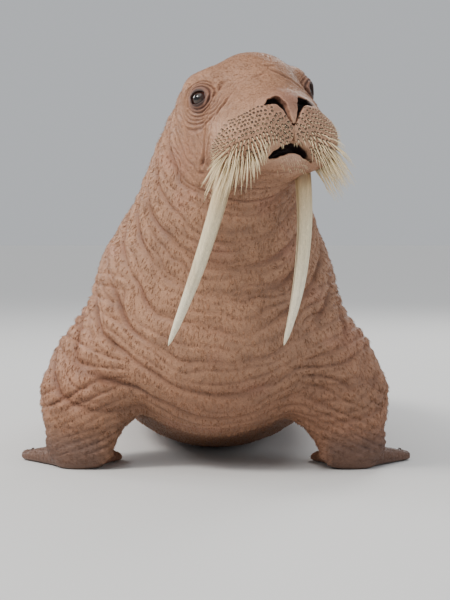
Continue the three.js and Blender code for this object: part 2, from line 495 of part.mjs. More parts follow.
// rings along the bend; `more` thickens it for its socket
function tuskSolid(row, more) {
  const RINGS = 14, SIDES = 12, LAST = 0.992, points = [], faces = [];
  for (let j = 0; j <= RINGS; j++) {
    const t = (LAST * (1 - (1 - j / RINGS) ** 1.25)), c = tuskPoint(row, t);
    const u = unit(add(tuskPoint(row, Math.min(t + 0.01, 1)), tuskPoint(row, t - 0.01), -1));
    const side = unit(cross(u, [0, -1, 0])), front = cross(side, u), r = tuskRadius(t) + more;
    const base = j === 0 ? add(c, u, -more) : c;
    for (let i = 0; i < SIDES; i++) {
      const a = (2 * Math.PI * i) / SIDES;
      points.push(...add(add(base, side, r * 0.94 * Math.cos(a)), front, r * 1.08 * Math.sin(a)));
    }
  }
  const tip = points.length / 3, root = tip + 1;
  const u1 = unit(add(row[2], tuskPoint(row, 0.95), -1));
  points.push(...add(row[2], u1, more), ...add(row[0], unit(add(row[1], row[0], -1)), -more));
  for (let j = 0; j < RINGS; j++) for (let i = 0; i < SIDES; i++) {
    const a = j * SIDES + i, b = j * SIDES + ((i + 1) % SIDES);
    faces.push(a, b, b + SIDES, a, b + SIDES, a + SIDES);
  }
  for (let i = 0; i < SIDES; i++) {
    const b = (i + 1) % SIDES;
    faces.push(root, b, i, tip, RINGS * SIDES + i, RINGS * SIDES + b);
  }
  const s = { points: Float32Array.from(points), faces: Uint32Array.from(faces) };
  const made = solid(s);
  if (made.volume() > 0) return made;
  for (let i = 0; i < faces.length; i += 3) [s.faces[i + 1], s.faces[i + 2]] = [s.faces[i + 2], s.faces[i + 1]];
  return solid(s);
}
const eyeCentre = (s) => headPoint(...(s < 0 ? EYES.right : EYES.left));
// the opening between the lids, a short round shaft from the eye outwards
function lidOpening(s) {
  const g = new THREE.CylinderGeometry(LID_OPENING * 1.25, LID_OPENING * 0.85, 60, 12).translate(0, 38, 0);
  const q = new THREE.Quaternion().setFromUnitVectors(new THREE.Vector3(0, 1, 0), new THREE.Vector3(...unit(headDir(s * EYE_LOOKS[0], EYE_LOOKS[1], EYE_LOOKS[2]))));
  return solidOf(g.applyQuaternion(q).translate(...eyeCentre(s)));
}
const eyeSolid = (s, more, detail = 2) => solidOf(new THREE.IcosahedronGeometry(EYE_RADIUS + more, detail).translate(...eyeCentre(s)));

// ---------------------------------------------------------------- thin the parts, then cut their sockets
const body = {
  skull: [skull, 1050], nose: [nosePart, 200], whisker_pad_right: [padRight, 420], whisker_pad_left: [padLeft, 420], lower_jaw: [jawPart, 170],
  neck: [neckPart, 520], chest: [chest, 900], barrel: [barrel, 460], rump: [rump, 430], tail: [tail, 90],
  fore_right: [parts.fore_right, 780], fore_left: [parts.fore_left, 780], hind_right: [parts.hind_right, 660], hind_left: [parts.hind_left, 660],
};
const made = {};
for (const [name, [s, count]] of Object.entries(body)) made[name] = largest(keepAhead(thin(s, count), [0, 0, -GAP / 2], UP));
for (const [name, s] of [["right", -1], ["left", 1]]) {
  const socket = tuskSolid(TUSKS[name], GAP * 1.4);
  made["whisker_pad_" + name] = largest(made["whisker_pad_" + name].subtract(socket));
  made.lower_jaw = largest(made.lower_jaw.subtract(socket));
  made.skull = largest(made.skull.subtract(socket).subtract(eyeSolid(s, 2, 1).add(lidOpening(s))));
}

// ---------------------------------------------------------------- the scene
const HIDE = { color: 0x8a6a54, roughness: 0.8, metalness: 0 };
const finish = {
  skull: HIDE, nose: { ...HIDE, color: 0x7d5f4c }, whisker_pad_right: { ...HIDE, color: 0x96745c }, whisker_pad_left: { ...HIDE, color: 0x96745c },
  lower_jaw: HIDE, neck: HIDE, chest: HIDE, barrel: HIDE, rump: HIDE, tail: HIDE,
};
const names = {
  skull: "head", nose: "nose", whisker_pad_right: "whisker_pad_right", whisker_pad_left: "whisker_pad_left", lower_jaw: "lower_jaw",
  neck: "neck", chest: "chest", barrel: "trunk", rump: "rump", tail: "tail",
  fore_right: "fore_flipper_right", fore_left: "fore_flipper_left", hind_right: "hind_flipper_right", hind_left: "hind_flipper_left",
};
const root = new THREE.Group();
const whole = new THREE.Group(); // moved so that the middle of the outline is over the origin
whole.position.set(-MIDDLE[0], -MIDDLE[1], 0);
root.add(whole);
function place(name, s, look) {
  const { points, faces } = meshOf(s);
  const g = new THREE.BufferGeometry().setAttribute("position", new THREE.BufferAttribute(points, 3)).setIndex(new THREE.BufferAttribute(faces, 1));
  g.computeVertexNormals();
  const mesh = new THREE.Mesh(g, new THREE.MeshStandardMaterial(look));
  mesh.name = name;
  whole.add(mesh);
}
for (const [key, name] of Object.entries(names)) place(name, made[key], finish[key] ?? { ...HIDE, color: 0x5f4a3e });
for (const [name, s] of [["right", -1], ["left", 1]]) {
  place("tusk_" + name, tuskSolid(TUSKS[name], 0), { color: 0xe8dcc0, roughness: 0.4, metalness: 0 });
  place("eye_" + name, eyeSolid(s, 0), { color: 0x2a1a14, roughness: 0.12, metalness: 0 });
}

export default root;
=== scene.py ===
# Looks of the walrus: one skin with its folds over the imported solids, eyes, tusks, nails, whiskers and short coat.
import math
import time

import bpy
import numpy as np
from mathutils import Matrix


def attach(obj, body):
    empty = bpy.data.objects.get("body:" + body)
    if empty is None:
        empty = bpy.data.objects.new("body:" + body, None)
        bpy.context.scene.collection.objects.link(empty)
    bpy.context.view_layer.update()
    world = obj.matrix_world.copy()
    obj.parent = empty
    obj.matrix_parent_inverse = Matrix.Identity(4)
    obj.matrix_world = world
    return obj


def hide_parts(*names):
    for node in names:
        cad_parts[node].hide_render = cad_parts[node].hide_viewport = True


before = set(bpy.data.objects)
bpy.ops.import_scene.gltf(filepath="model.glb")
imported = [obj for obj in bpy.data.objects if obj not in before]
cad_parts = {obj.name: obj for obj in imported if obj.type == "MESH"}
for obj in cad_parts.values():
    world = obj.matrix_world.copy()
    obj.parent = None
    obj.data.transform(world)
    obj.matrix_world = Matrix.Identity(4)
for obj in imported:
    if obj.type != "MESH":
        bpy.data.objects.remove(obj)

T0 = time.time()
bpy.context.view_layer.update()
F32 = np.float32


def said(what):
    print("STEP %-22s %6.1f s" % (what, time.time() - T0), flush=True)


# ------------------------------------------------------------------ camera, as in the photo: low, almost square on
MIDDLE = np.array([0.0, 918.8, 0.0])          # mm; the solids are drawn round another point and moved by this
AIM = (np.array([27.0, 0.0, 500.0]) - MIDDLE) / 1000
AWAY, RISE = 5.0, math.radians(2.5)
cam_data = bpy.data.cameras.new("camera")
cam_data.lens, cam_data.sensor_width, cam_data.sensor_fit = 100.0, 36.0, "VERTICAL"
cam_data.sensor_height = 36.0
cam_data.clip_start, cam_data.clip_end = 0.1, 200
camera = bpy.data.objects.new("camera", cam_data)
camera.location = (AIM[0], AIM[1] - AWAY * math.cos(RISE), AIM[2] + AWAY * math.sin(RISE))
camera.rotation_euler = (math.pi / 2 - RISE, 0, 0)
bpy.context.scene.collection.objects.link(camera)
bpy.context.scene.camera = camera

# ------------------------------------------------------------------ the body's form, in mm, as in the solids
BODY_LENGTH = 2260.0
HEAD_AT = np.array([95.0, -370.0, 1084.0])
HEAD_TURN, HEAD_LIFT, HEAD_ROLL = 26.0, 14.0, 2.0
EYES, EYE_RADIUS = {-1: (-163, 26, -23), 1: (144, 38, -8)}, 25.0
EYE_LOOKS = (0.82, 0.56, 0.1)
MIDLINE = 5.0                                  # the nose and lip sit this far to the animal's left of the head's middle
TUSK_RADIUS = 26.0
TUSKS = {-1: [(46, -528, 926), (-16, -470, 655), (-132.6, -335, 386)],
         1: [(230, -440, 928), (274, -430, 658), (192.2, -320, 386)]}
NECK_FOOT, NECK_TOP = np.array([-6.0, 90, 430]), np.array([60.0, -300, 1040])
FORE_DIGITS = [(46, 270), (65, 284), (85, 270), (104, 243), (123, 206)]
HIND_DIGITS = [(18, 400), (37, 345), (56, 325), (75, 345), (94, 405)]
TRUNK = [(0, 335, 770, 400, 85), (250, 385, 800, 385, 22), (600, 420, 752, 345, -16), (1000, 428, 690, 315, -20),
         (1400, 395, 590, 275, -18), (1750, 300, 440, 205, -8), (2000, 190, 292, 140, 12), (2150, 112, 180, 95, 24),
         (BODY_LENGTH, 50, 108, 66, 30)]
NECK = [(0, 0, 330, 330, 335), (0.25, -4, 330, 300, 300), (0.42, -6, 302, 272, 272), (0.56, -4, 266, 245, 245),
        (0.74, -6, 230, 216, 220), (0.88, -10, 200, 192, 198), (1, -8, 168, 158, 168)]
COAT = 5.0                                     # depth of the coat over the skin


def turn(yaw, lift, roll):
    y, p, r = np.radians([yaw, lift, roll])
    a = np.array([[np.cos(y), -np.sin(y), 0], [np.sin(y), np.cos(y), 0], [0, 0, 1]])
    b = np.array([[1, 0, 0], [0, np.cos(p), np.sin(p)], [0, -np.sin(p), np.cos(p)]])
    c = np.array([[np.cos(r), 0, -np.sin(r)], [0, 1, 0], [np.sin(r), 0, np.cos(r)]])
    return a @ b @ c


RH = turn(HEAD_TURN, HEAD_LIFT, HEAD_ROLL)
FLIP = np.array([1.0, -1.0, 1.0])


def H(x, f, z):      # a point of the head: x to the animal's left, f forward of the eyes, z up
    return HEAD_AT + RH @ (np.array([x, f, z], float) * FLIP)


def HD(x, f, z):
    return RH @ (np.array([x, f, z], float) * FLIP)


def to_head(P):
    return ((P - HEAD_AT) @ RH) * FLIP


def spline(ts, vs, n=160):
    ts, vs = np.array(ts, float), np.array(vs, float)
    lo, hi = np.maximum(np.arange(len(ts)) - 1, 0), np.minimum(np.arange(len(ts)) + 1, len(ts) - 1)
    m = (vs[hi] - vs[lo]) / (ts[hi] - ts[lo])
    x = np.linspace(ts[0], ts[-1], n)
    k = np.clip(np.searchsorted(ts, x, side="right") - 1, 0, len(ts) - 2)
    h = ts[k + 1] - ts[k]
    u = (x - ts[k]) / h
    return (vs[k] * (1 + 2 * u) * (1 - u) ** 2 + m[k] * h * u * (1 - u) ** 2
            + vs[k + 1] * u * u * (3 - 2 * u) + m[k + 1] * h * u * u * (u - 1))


def limb(name, a, b, ra, rb, n=(0, 0, 1), k=60):
    a, b = np.array(a, float), np.array(b, float)
    L = np.linalg.norm(b - a)
    u = (b - a) / L
    n = np.array(n, float)
    n = n - u * (n @ u)
    n /= np.linalg.norm(n)
    R = max(*ra, *rb)
    return dict(name=name, kind="limb", a=a, u=u, L=L, n=n, s=np.cross(u, n), ra=ra, rb=rb, k=k,
                ea=ra[2] if len(ra) > 2 else ra[0], eb=rb[2] if len(rb) > 2 else rb[0],
                lo=np.minimum(a, b) - R, hi=np.maximum(a, b) + R)


def sections(name, a, b, v, rows, caps, k, lift=None):
    a, b = np.array(a, float), np.array(b, float)
    L = np.linalg.norm(b - a)
    u = (b - a) / L
    v = np.array(v, float)
    v = v - u * (v @ u)
    v /= np.linalg.norm(v)
    s = np.cross(u, v)
    if s[0] < 0:
        s = -s
    ts = [r[0] for r in rows]
    tab = [spline(ts, [r[i] for r in rows]) for i in (1, 2, 3, 4)]
    R = max(t.max() for t in tab[1:]) + max(caps) + 20
    high = lift.max() if lift is not None else 0
    hi = np.maximum(a, b) + R
    hi[2] += high
    return dict(name=name, kind="sections", a=a, u=u, L=L, v=v, s=s, tab=tab, caps=caps, k=k, lift=lift,
                lo=np.minimum(a, b) - R, hi=hi)


def distance(q, P):
    x = P - q["a"].astype(F32)
    if q["kind"] == "sections":
        if q["lift"] is not None:
            g = np.clip(P[..., 1], 0, q["L"]) / F32(q["L"]) * 159
            i = np.minimum(g.astype(np.int32), 158)
            T = q["lift"].astype(F32)
            x = x.copy()
            x[..., 2] -= T[i] + (T[i + 1] - T[i]) * (g - i)
        y = x @ q["u"].astype(F32)
        yc = np.clip(y, 0, F32(q["L"]))
        g = yc / F32(q["L"]) * 159
        i = np.minimum(g.astype(np.int32), 158)
        f = g - i
        c, rs, hi, lo = [(T.astype(F32)[i] + (T.astype(F32)[i + 1] - T.astype(F32)[i]) * f) for T in q["tab"]]
        X, Z = (x @ q["s"].astype(F32) - c) / rs, x @ q["v"].astype(F32)
        rt = np.where(Z > 0, hi, lo)
        Z = Z / rt
        re = np.where(y < 0, F32(q["caps"][0]), F32(q["caps"][1]))
    else:
        y = x @ q["u"].astype(F32)
        yc = np.clip(y, 0, F32(q["L"]))
        t = yc / F32(q["L"])
        rs = F32(q["ra"][0]) + F32(q["rb"][0] - q["ra"][0]) * t
        rt = F32(q["ra"][1]) + F32(q["rb"][1] - q["ra"][1]) * t
        re = np.where(t < 0.5, F32(q["ea"]), F32(q["eb"]))
        X, Z = x @ q["s"].astype(F32) / rs, x @ q["n"].astype(F32) / rt
    Y = (y - yc) / re
    k0 = np.sqrt(X * X + Y * Y + Z * Z)
    k1 = np.sqrt((X / rs) ** 2 + (Y / re) ** 2 + (Z / rt) ** 2) + F32(1e-9)
    return (k0 * (k0 - 1) / k1).astype(F32)


def melt(a, b, k):
    if k <= 0:
        return np.minimum(a, b)
    h = np.maximum(k - np.abs(a - b), 0) / F32(k)
    return np.minimum(a, b) - h * h * F32(k * 0.25)


def carve(a, b, k):
    return -melt(-a, b, k)


UP = (0, 0, 1)
rows = [(y / BODY_LENGTH, 0, w, top - mid, mid - low) for y, w, top, mid, low in TRUNK]
FORMS = [sections("trunk", (0, 0, 0), (0, BODY_LENGTH, 0), UP, rows, (290, 40), 0,
                  spline([r[0] / BODY_LENGTH for r in TRUNK], [r[3] for r in TRUNK])),
         sections("neck", NECK_FOOT, NECK_TOP, (0, 1, 0.6), NECK, (200, 90), 110)]
for s in (-1, 1):
    FORMS.append(limb("shoulder", (s * 232 - 8, 20, 540), (s * 342 - 12, 0, 285), (92, 150, 140), (108, 150, 150), (0, 1, 0), 110))


def on_head(name, a, b, ra, rb, k, n=(0, 0, 1)):
    return limb(name, H(*a), H(*b), ra, rb, HD(*n), k)


FORMS += [on_head("cranium", (0, -70, -8), (0, 0, -2), (128, 112, 125), (130, 112, 138), 80),
          on_head("bridge", (0, 20, -8), (0, 145, -88), (114, 86, 90), (92, 56, 62), 60),
          on_head("muzzle", (-7, 80, -144), (-7, 96, -154), (146, 98, 110), (140, 92, 105), 60),
          on_head("nose", (0, 155, -106), (0, 166, -112), (60, 42, 44), (60, 44, 44), 36)]
for s in (-1, 1):
    FORMS += [on_head("orbit", (-146, -8, -4), (-150, 4, -12), (48, 46, 46), (42, 42, 42), 50) if s < 0 else
              on_head("orbit", (144, -2, 9), (149, 18, 4), (46, 44, 44), (41, 42, 42), 46),
              on_head("brow", (-130, -30, 27), (-118, 22, 27), (46, 42, 40), (44, 38, 38), 46) if s < 0 else
              on_head("brow", (126, -14, 32), (122, 34, 24), (45, 39, 38), (41, 37, 35), 46),
              on_head("cheek", (s * 100, -60, -92), (s * 102, 40, -120), (66, 110, 85), (64, 92, 85), 70),
              on_head("pad", (s * 54, 122, -140), (-108 if s < 0 else 92, 110, -172), (76, 88, 74), (82, 94, 80), 34, (0, 1, 0.15))]
FORMS += [on_head("jaw", (0, -70, -180), (5, 112, -228), (118, 84, 86), (58, 44, 50), 34),
          on_head("lip", (-20, 126, -226), (32, 126, -228), (31, 22, 24), (31, 22, 24), 26),
          on_head("throat", (0, -60, -190), (0, -170, -280), (120, 95), (150, 125), 110)]


def webs(wrist, digits, s, share, drop, root, tip_thick):
    out = []
    for (a, la), (b, lb) in zip(digits, digits[1:]):
        mid, half = math.radians((a + b) / 2), math.radians((b - a) / 2)
        length = (la + lb) / 2 * share
        d = np.array([s * math.cos(mid), math.sin(mid), 0])
        wide = length * math.sin(half) + 8
        tip = wrist + d * (length - wide * 0.6)
        tip[2] = tip_thick - 3
        out.append(limb("web", wrist + d * 50 + np.array([0, 0, drop]), tip, (34, root, 34), (wide, tip_thick, wide * 0.6), UP, 14))
    return out


WRIST = {s: np.array([s * 408.0, -45, 30]) for s in (-1, 1)}
HEEL = {s: np.array([s * 212.0, 2075, 32]) for s in (-1, 1)}


def digit_ends(base, angle, length, s, lift, less, tip_z):
    d = np.array([s * math.cos(math.radians(angle)), math.sin(math.radians(angle)), 0])
    tip = base + d * (length - less)
    tip[2] = tip_z
    return base + d * 20 + np.array([0, 0, lift]), tip


for s in (-1, 1):
    n = (s * 0.3, -0.95, 0)
    FORMS += [limb("elbow", (s * 356 - 6, 10, 320), (s * 382 - 5, -25, 215), (124, 108, 110), (128, 100, 110), n, 100),
              limb("forearm", (s * 384 - 4, -28, 215), (s * 406, -45, 66), (138, 96, 100), (114, 66, 70), n, 60)]
    for angle, length in FORE_DIGITS:
        a, b = digit_ends(WRIST[s], angle, length, s, 2, 26, 15)
        FORMS.append(limb("digit", a, b, (50, 42, 44), (27, 20, 28), UP, 30))
    FORMS += webs(WRIST[s], FORE_DIGITS, s, 0.93, -12, 17, 13)
    FORMS.append(limb("ankle", (s * 130, 1800, 170), (s * 205, 2060, 80), (115, 115, 120), (76, 66, 80), UP, 100))
    for angle, length in HIND_DIGITS:
        a, b = digit_ends(HEEL[s], angle, length, s, 0, 30, 9)
        FORMS.append(limb("toe", a, b, (46, 36, 44), (31, 12, 30), UP, 30))
    FORMS += webs(HEEL[s], HIND_DIGITS, s, 0.90, -19, 14, 8)

# what is cut into the head: nostrils, philtrum, mouth; and the lids laid over the eyes
NOSTRILS = {-1: [(-64, 181, -92, 2.5), (-47, 185, -84, 9), (-30, 190, -84, 15), (-20, 195, -99, 13.5), (-13, 198, -118, 8), (1, 191, -146, 2.4)],
            1: [(75, 193, -95, 2.5), (61, 193, -86, 9), (45, 194, -84, 14), (33, 197, -99, 11), (23, 198, -119, 5.5), (12, 193, -146, 2.2)]}
MOUTH = [(-50, 149, -223, 3.5), (-36, 157, -217, 8), (-18, 165, -209, 11), (8, 171, -203, 13), (28, 170, -206, 12.5), (46, 162, -217, 10), (72, 146, -233, 4)]
PHILTRUM = [(8, 196, -144, 2.5), (6, 192, -165, 3.2), (7, 184, -186, 6)]


def chain(points, deep, k):
    out = []
    for (x0, f0, z0, r0), (x1, f1, z1, r1) in zip(points, points[1:]):
        out.append(on_head("cut", (x0, f0, z0), (x1, f1, z1), (r0, deep, r0), (r1, deep, r1), k, (0, 1, 0)))
    return out


CUTS = [(chain(NOSTRILS[-1], 26, 5), 5.0), (chain(NOSTRILS[1], 26, 5), 5.0), (chain(MOUTH, 34, 8), 9.0), (chain(PHILTRUM, 9, 4), 5.0)]
EYE_AT = {s: H(*EYES[s]) for s in (-1, 1)}
EYE_L = {s: HD(s * EYE_LOOKS[0], EYE_LOOKS[1], EYE_LOOKS[2]) / np.linalg.norm(EYE_LOOKS) for s in (-1, 1)}
EYE_U, EYE_W = {}, {}
for s in (-1, 1):
    u = HD(0, -0.15, 1)
    u = u - EYE_L[s] * (u @ EYE_L[s])
    EYE_U[s] = u / np.linalg.norm(u)
    EYE_W[s] = np.cross(EYE_U[s], EYE_L[s]) * s       # towards the nose
LID_WIDE, LID_HIGH, LID_LOW = 21.0, 17.5, 17.0


def eye_coords(P, s):
    r = P - EYE_AT[s].astype(P.dtype)
    return r @ EYE_W[s].astype(P.dtype), r @ EYE_U[s].astype(P.dtype), r @ EYE_L[s].astype(P.dtype)


def with_details(P, d):
    """the head's cuts and lids, on points near the head"""
    for forms, k in CUTS:
        lo = np.min([q["lo"] for q in forms], axis=0) - 25
        hi = np.max([q["hi"] for q in forms], axis=0) + 25
        m = np.all((P > lo) & (P < hi), axis=-1)
        if m.any():
            c = None
            for q in forms:
                e = distance(q, P[m])
                c = e if c is None else melt(c, e, q["k"])
            d[m] = carve(d[m], c, k)
    for s in (-1, 1):
        m = np.linalg.norm(P - EYE_AT[s].astype(F32), axis=-1) < 90
        if not m.any():
            continue
        Q = P[m]
        w, u, l = eye_coords(Q, s)
        r = np.sqrt(w * w + u * u + l * l)
        e = d[m]
        # a soft hollow round the eye, the lids' swelling over it, then the opening
        hollow = np.exp(-((np.sqrt(w * w + u * u) - 44) / 15) ** 2) * np.where(u > 0, 4.5, 3.0)
        e = e + hollow.astype(F32)
        lids = np.maximum(r - (EYE_RADIUS + 5.0), np.sqrt(w * w + (u * 1.15) ** 2) - 36)
        e = melt(e, lids, 10)
        high = np.where(u > 0, LID_HIGH, LID_LOW) * np.sqrt(np.clip(1 - (w / LID_WIDE) ** 2 * 0.75, 0.05, 1))
        gap = np.maximum(np.abs(u) - high, np.abs(w) - LID_WIDE)
        gap = np.where(l > -6, gap, 60).astype(F32)
        e = carve(e, gap, 4)
        d[m] = e
    return d


BLOCK = 130.0


def blocks(P):
    """points in order of the block of space that they lie in"""
    c = np.floor(P / BLOCK).astype(np.int64) + 50
    key = (c[:, 0] * 200 + c[:, 1]) * 200 + c[:, 2]
    order = np.argsort(key, kind="stable")
    cut = np.r_[0, np.where(np.diff(key[order]))[0] + 1, len(P)]
    return order, cut


def field(P):
    """signed distance to the skin, below 0 inside"""
    P = np.asarray(P, F32)
    order, cut = blocks(P)
    Q = P[order]
    d = np.full(len(P), 400, F32)
    for i, j in zip(cut, cut[1:]):
        R = Q[i:j]
        lo, hi = R.min(0), R.max(0)
        e = d[i:j]
        for q in FORMS:
            if np.all(lo < q["hi"] + 115) and np.all(hi > q["lo"] - 115):
                e = melt(e, distance(q, R), q["k"])
        d[i:j] = e
    d = d + depth_at(Q)
    near = np.linalg.norm(Q - HEAD_AT.astype(F32), axis=1) < 420
    if near.any():
        d[near] = with_details(Q[near], d[near])
    d = carve(d, Q[..., 2] - F32(1.0), 7.0)         # flat where it lies on the ground
    out = np.empty_like(d)
    out[order] = d
    return out


def depth_at(P):
    """how far the skin lies inside the solids: less on the face, the feet and the tail"""
    face = np.clip((260 - np.linalg.norm(P - (HEAD_AT + RH @ np.array([0, -60.0, -90])).astype(F32), axis=-1)) / 80, 0, 1)
    low = np.clip((110 - P[..., 2]) / 60, 0, 1) * np.where((np.abs(P[..., 0]) > 330) | (P[..., 1] > 1950), 1, 0)
    return (COAT - 2.5 * np.maximum(face, low)).astype(F32)


# ------------------------------------------------------------------ surface: a net over an uneven grid
def steps(spans):
    out = []
    for (a, step), nxt in zip(spans, spans[1:]):
        n = max(1, round((nxt[0] - a) / step))
        out += [a + (nxt[0] - a) * j / n for j in range(n)]
    return np.array(out + [spans[-1][0]], F32)


def whole_field(xs, ys, zs):
    nx, ny, nz = len(xs), len(ys), len(zs)
    P = np.empty((nx, ny, nz, 3), F32)
    P[..., 0], P[..., 1], P[..., 2] = xs[:, None, None], ys[None, :, None], zs[None, None, :]
    d = np.full((nx, ny, nz), 400, F32)
    for q in FORMS:
        sl = []
        for c, ax in enumerate((xs, ys, zs)):
            i = np.searchsorted(ax, q["lo"][c] - 130)
            j = np.searchsorted(ax, q["hi"][c] + 130)
            sl.append(slice(max(i - 1, 0), j + 1))
        sl = tuple(sl)
        if min(s.stop - s.start for s in sl) <= 0:
            continue
        d[sl] = melt(d[sl], distance(q, P[sl]), q["k"])
    d = d + depth_at(P)
    c = [np.searchsorted(ax, (-150, -660, 780)[i]) for i, ax in enumerate((xs, ys, zs))]
    e = [np.searchsorted(ax, (360, -120, 1210)[i]) for i, ax in enumerate((xs, ys, zs))]
    sl = tuple(slice(a, b) for a, b in zip(c, e))
    d[sl] = with_details(P[sl], d[sl])
    return carve(d, P[..., 2] - F32(1.0), 7.0)


def net(xs, ys, zs, d):
    """one vertex in each cell that the surface crosses, one quad across each edge that it crosses"""
    inside = d < 0
    nx, ny, nz = d.shape
    total = np.zeros((nx - 1, ny - 1, nz - 1, 3), F32)
    count = np.zeros((nx - 1, ny - 1, nz - 1), F32)
    axes = (xs, ys, zs)
    edges = []
    for ax in range(3):
        lo = [slice(None)] * 3
        hi = [slice(None)] * 3
        lo[ax], hi[ax] = slice(0, -1), slice(1, None)
        a, b = d[tuple(lo)], d[tuple(hi)]
        cross = inside[tuple(lo)] != inside[tuple(hi)]
        idx = np.argwhere(cross)
        t = a[cross] / (a[cross] - b[cross])
        p = np.empty((len(idx), 3), F32)
        for c in range(3):
            p[:, c] = axes[c][idx[:, c]]
        nxt = axes[ax][idx[:, ax] + 1]
        p[:, ax] += (nxt - p[:, ax]) * t
        edges.append((ax, idx, inside[tuple(lo)][cross]))
        o1, o2 = [c for c in range(3) if c != ax]
        for i in (0, -1):
            for j in (0, -1):
                k = idx.copy()
                k[:, o1] += i
                k[:, o2] += j
                ok = (k[:, o1] >= 0) & (k[:, o2] >= 0) & (k[:, o1] < total.shape[o1]) & (k[:, o2] < total.shape[o2])
                np.add.at(total, tuple(k[ok].T), p[ok])
                np.add.at(count, tuple(k[ok].T), 1)
    cells = count > 0
    number = np.full(cells.shape, -1, np.int64)
    number[cells] = np.arange(cells.sum())
    verts = total[cells] / count[cells][:, None]
    quads = []
    for ax, idx, first_in in edges:
        o1, o2 = [(ax + 1) % 3, (ax + 2) % 3]
        ring = []
        for i, j in ((0, 0), (-1, 0), (-1, -1), (0, -1)):
            k = idx.copy()
            k[:, o1] += i
            k[:, o2] += j
            ring.append(number[tuple(k.T)])
        ring = np.stack(ring, 1)
        ring[~first_in] = ring[~first_in][:, ::-1]
        quads.append(ring)
    quads = np.concatenate(quads)
    return verts, quads


def slope(P, d, h=1.0):
    g = np.empty_like(P)
    for c in range(3):
        e = np.zeros(3, F32)
        e[c] = h
        g[:, c] = (field(P + e) - d) / h
    return g


def settle(P, rounds=2):
    """moves points onto the surface"""
    for _ in range(rounds):
        d = field(P)
        g = slope(P, d)
        n2 = np.maximum((g * g).sum(1), 0.05)
        move = -(d / n2)[:, None] * g
        size = np.linalg.norm(move, axis=1, keepdims=True)
        P = P + move * np.minimum(1, 8 / np.maximum(size, 1e-6))
    return P


xs = steps([(-640, 12.8), (-140, 6.6), (350, 12.8), (640,)])
ys = steps([(-665, 6.6), (-150, 12.6), (1960, 10), (2540,)])
zs = steps([(-13, 5), (47, 12.6), (780, 6.6), (1218,)])
grid_field = whole_field(xs, ys, zs)
said("field %d" % grid_field.size)
verts, quads = net(xs, ys, zs, grid_field)
del grid_field
said("net %d" % len(verts))


# ------------------------------------------------------------------ noise
def hashed(i, j, k, seed):
    h = (i.astype(np.int64) * 374761393 + j.astype(np.int64) * 668265263 + k.astype(np.int64) * 2147483647 + seed * 974634777) & 0xFFFFFFFF
    h = ((h ^ (h >> 13)) * 1274126177) & 0xFFFFFFFF
    return ((h ^ (h >> 16)) & 0xFFFFFF).astype(F32) / F32(0x800000) - 1


def noise(P, size, seed=0):
    """smooth values from -1 to 1, about `size` mm from one bump to the next; size may be one number or three"""
    Q = np.asarray(P, F32) / np.asarray(size, F32)
    f = np.floor(Q)
    t = Q - f
    t = t * t * (3 - 2 * t)
    i = f.astype(np.int64)
    out = 0
    for a in (0, 1):
        wa = t[:, 0] if a else 1 - t[:, 0]
        for b in (0, 1):
            wb = t[:, 1] if b else 1 - t[:, 1]
            for c in (0, 1):
                wc = t[:, 2] if c else 1 - t[:, 2]
                out = out + wa * wb * wc * hashed(i[:, 0] + a, i[:, 1] + b, i[:, 2] + c, seed)
    return out


def rough_noise(P, size, seed=0, layers=3):
    out, amp = 0, 1.0
    for n in range(layers):
        out = out + noise(P, np.asarray(size) / 2 ** n, seed + 31 * n) * amp
        amp *= 0.5
    return out / 1.75


def smooth(a, b, x):
    t = np.clip((x - a) / (b - a), 0, 1)
    return t * t * (3 - 2 * t)


def near_line(Q, line):
    """distance from points to a bent line, and the share of the line's length where it is nearest"""
    best = np.full(len(Q), 1e9, F32)
    at = np.zeros(len(Q), F32)
    line = np.array(line, float)
    lengths = np.linalg.norm(np.diff(line, axis=0), axis=1)
    done, total = 0.0, lengths.sum()
    for a, b, L in zip(line, line[1:], lengths):
        t = np.clip(((Q - a) @ (b - a)) / (L * L), 0, 1)
        e = np.linalg.norm(Q - a - t[:, None] * (b - a), axis=1)
        m = e < best
        best[m] = e[m]
        at[m] = ((done + t * L) / total)[m]
        done += L
    return best, at


def bent(points, n=24):
    """a smooth line through a few points"""
    p = np.array(points, float)
    ts = np.r_[0, np.cumsum(np.linalg.norm(np.diff(p, axis=0), axis=1))]
    return np.stack([spline(ts, p[:, c], n) for c in range(3)], 1)


# ------------------------------------------------------------------ creases, folds and wrinkles
NECK_L = np.linalg.norm(NECK_TOP - NECK_FOOT)
NECK_U = (NECK_TOP - NECK_FOOT) / NECK_L
NECK_FRONT = np.array([0, -1.0, 0]) - NECK_U * (np.array([0, -1.0, 0]) @ NECK_U)
NECK_FRONT /= np.linalg.norm(NECK_FRONT)
NECK_SIDE = np.cross(NECK_U, NECK_FRONT)


def folds(s, wave, soft=0.03):
    """narrow valleys between round rolls: -1 in the valley, 0 on the roll"""
    a = np.sin(np.pi * s / wave) ** 2
    return -np.exp(-a / (soft * 4)) * 0.6 - 0.4 * (1 - np.sqrt(a + 1e-4))


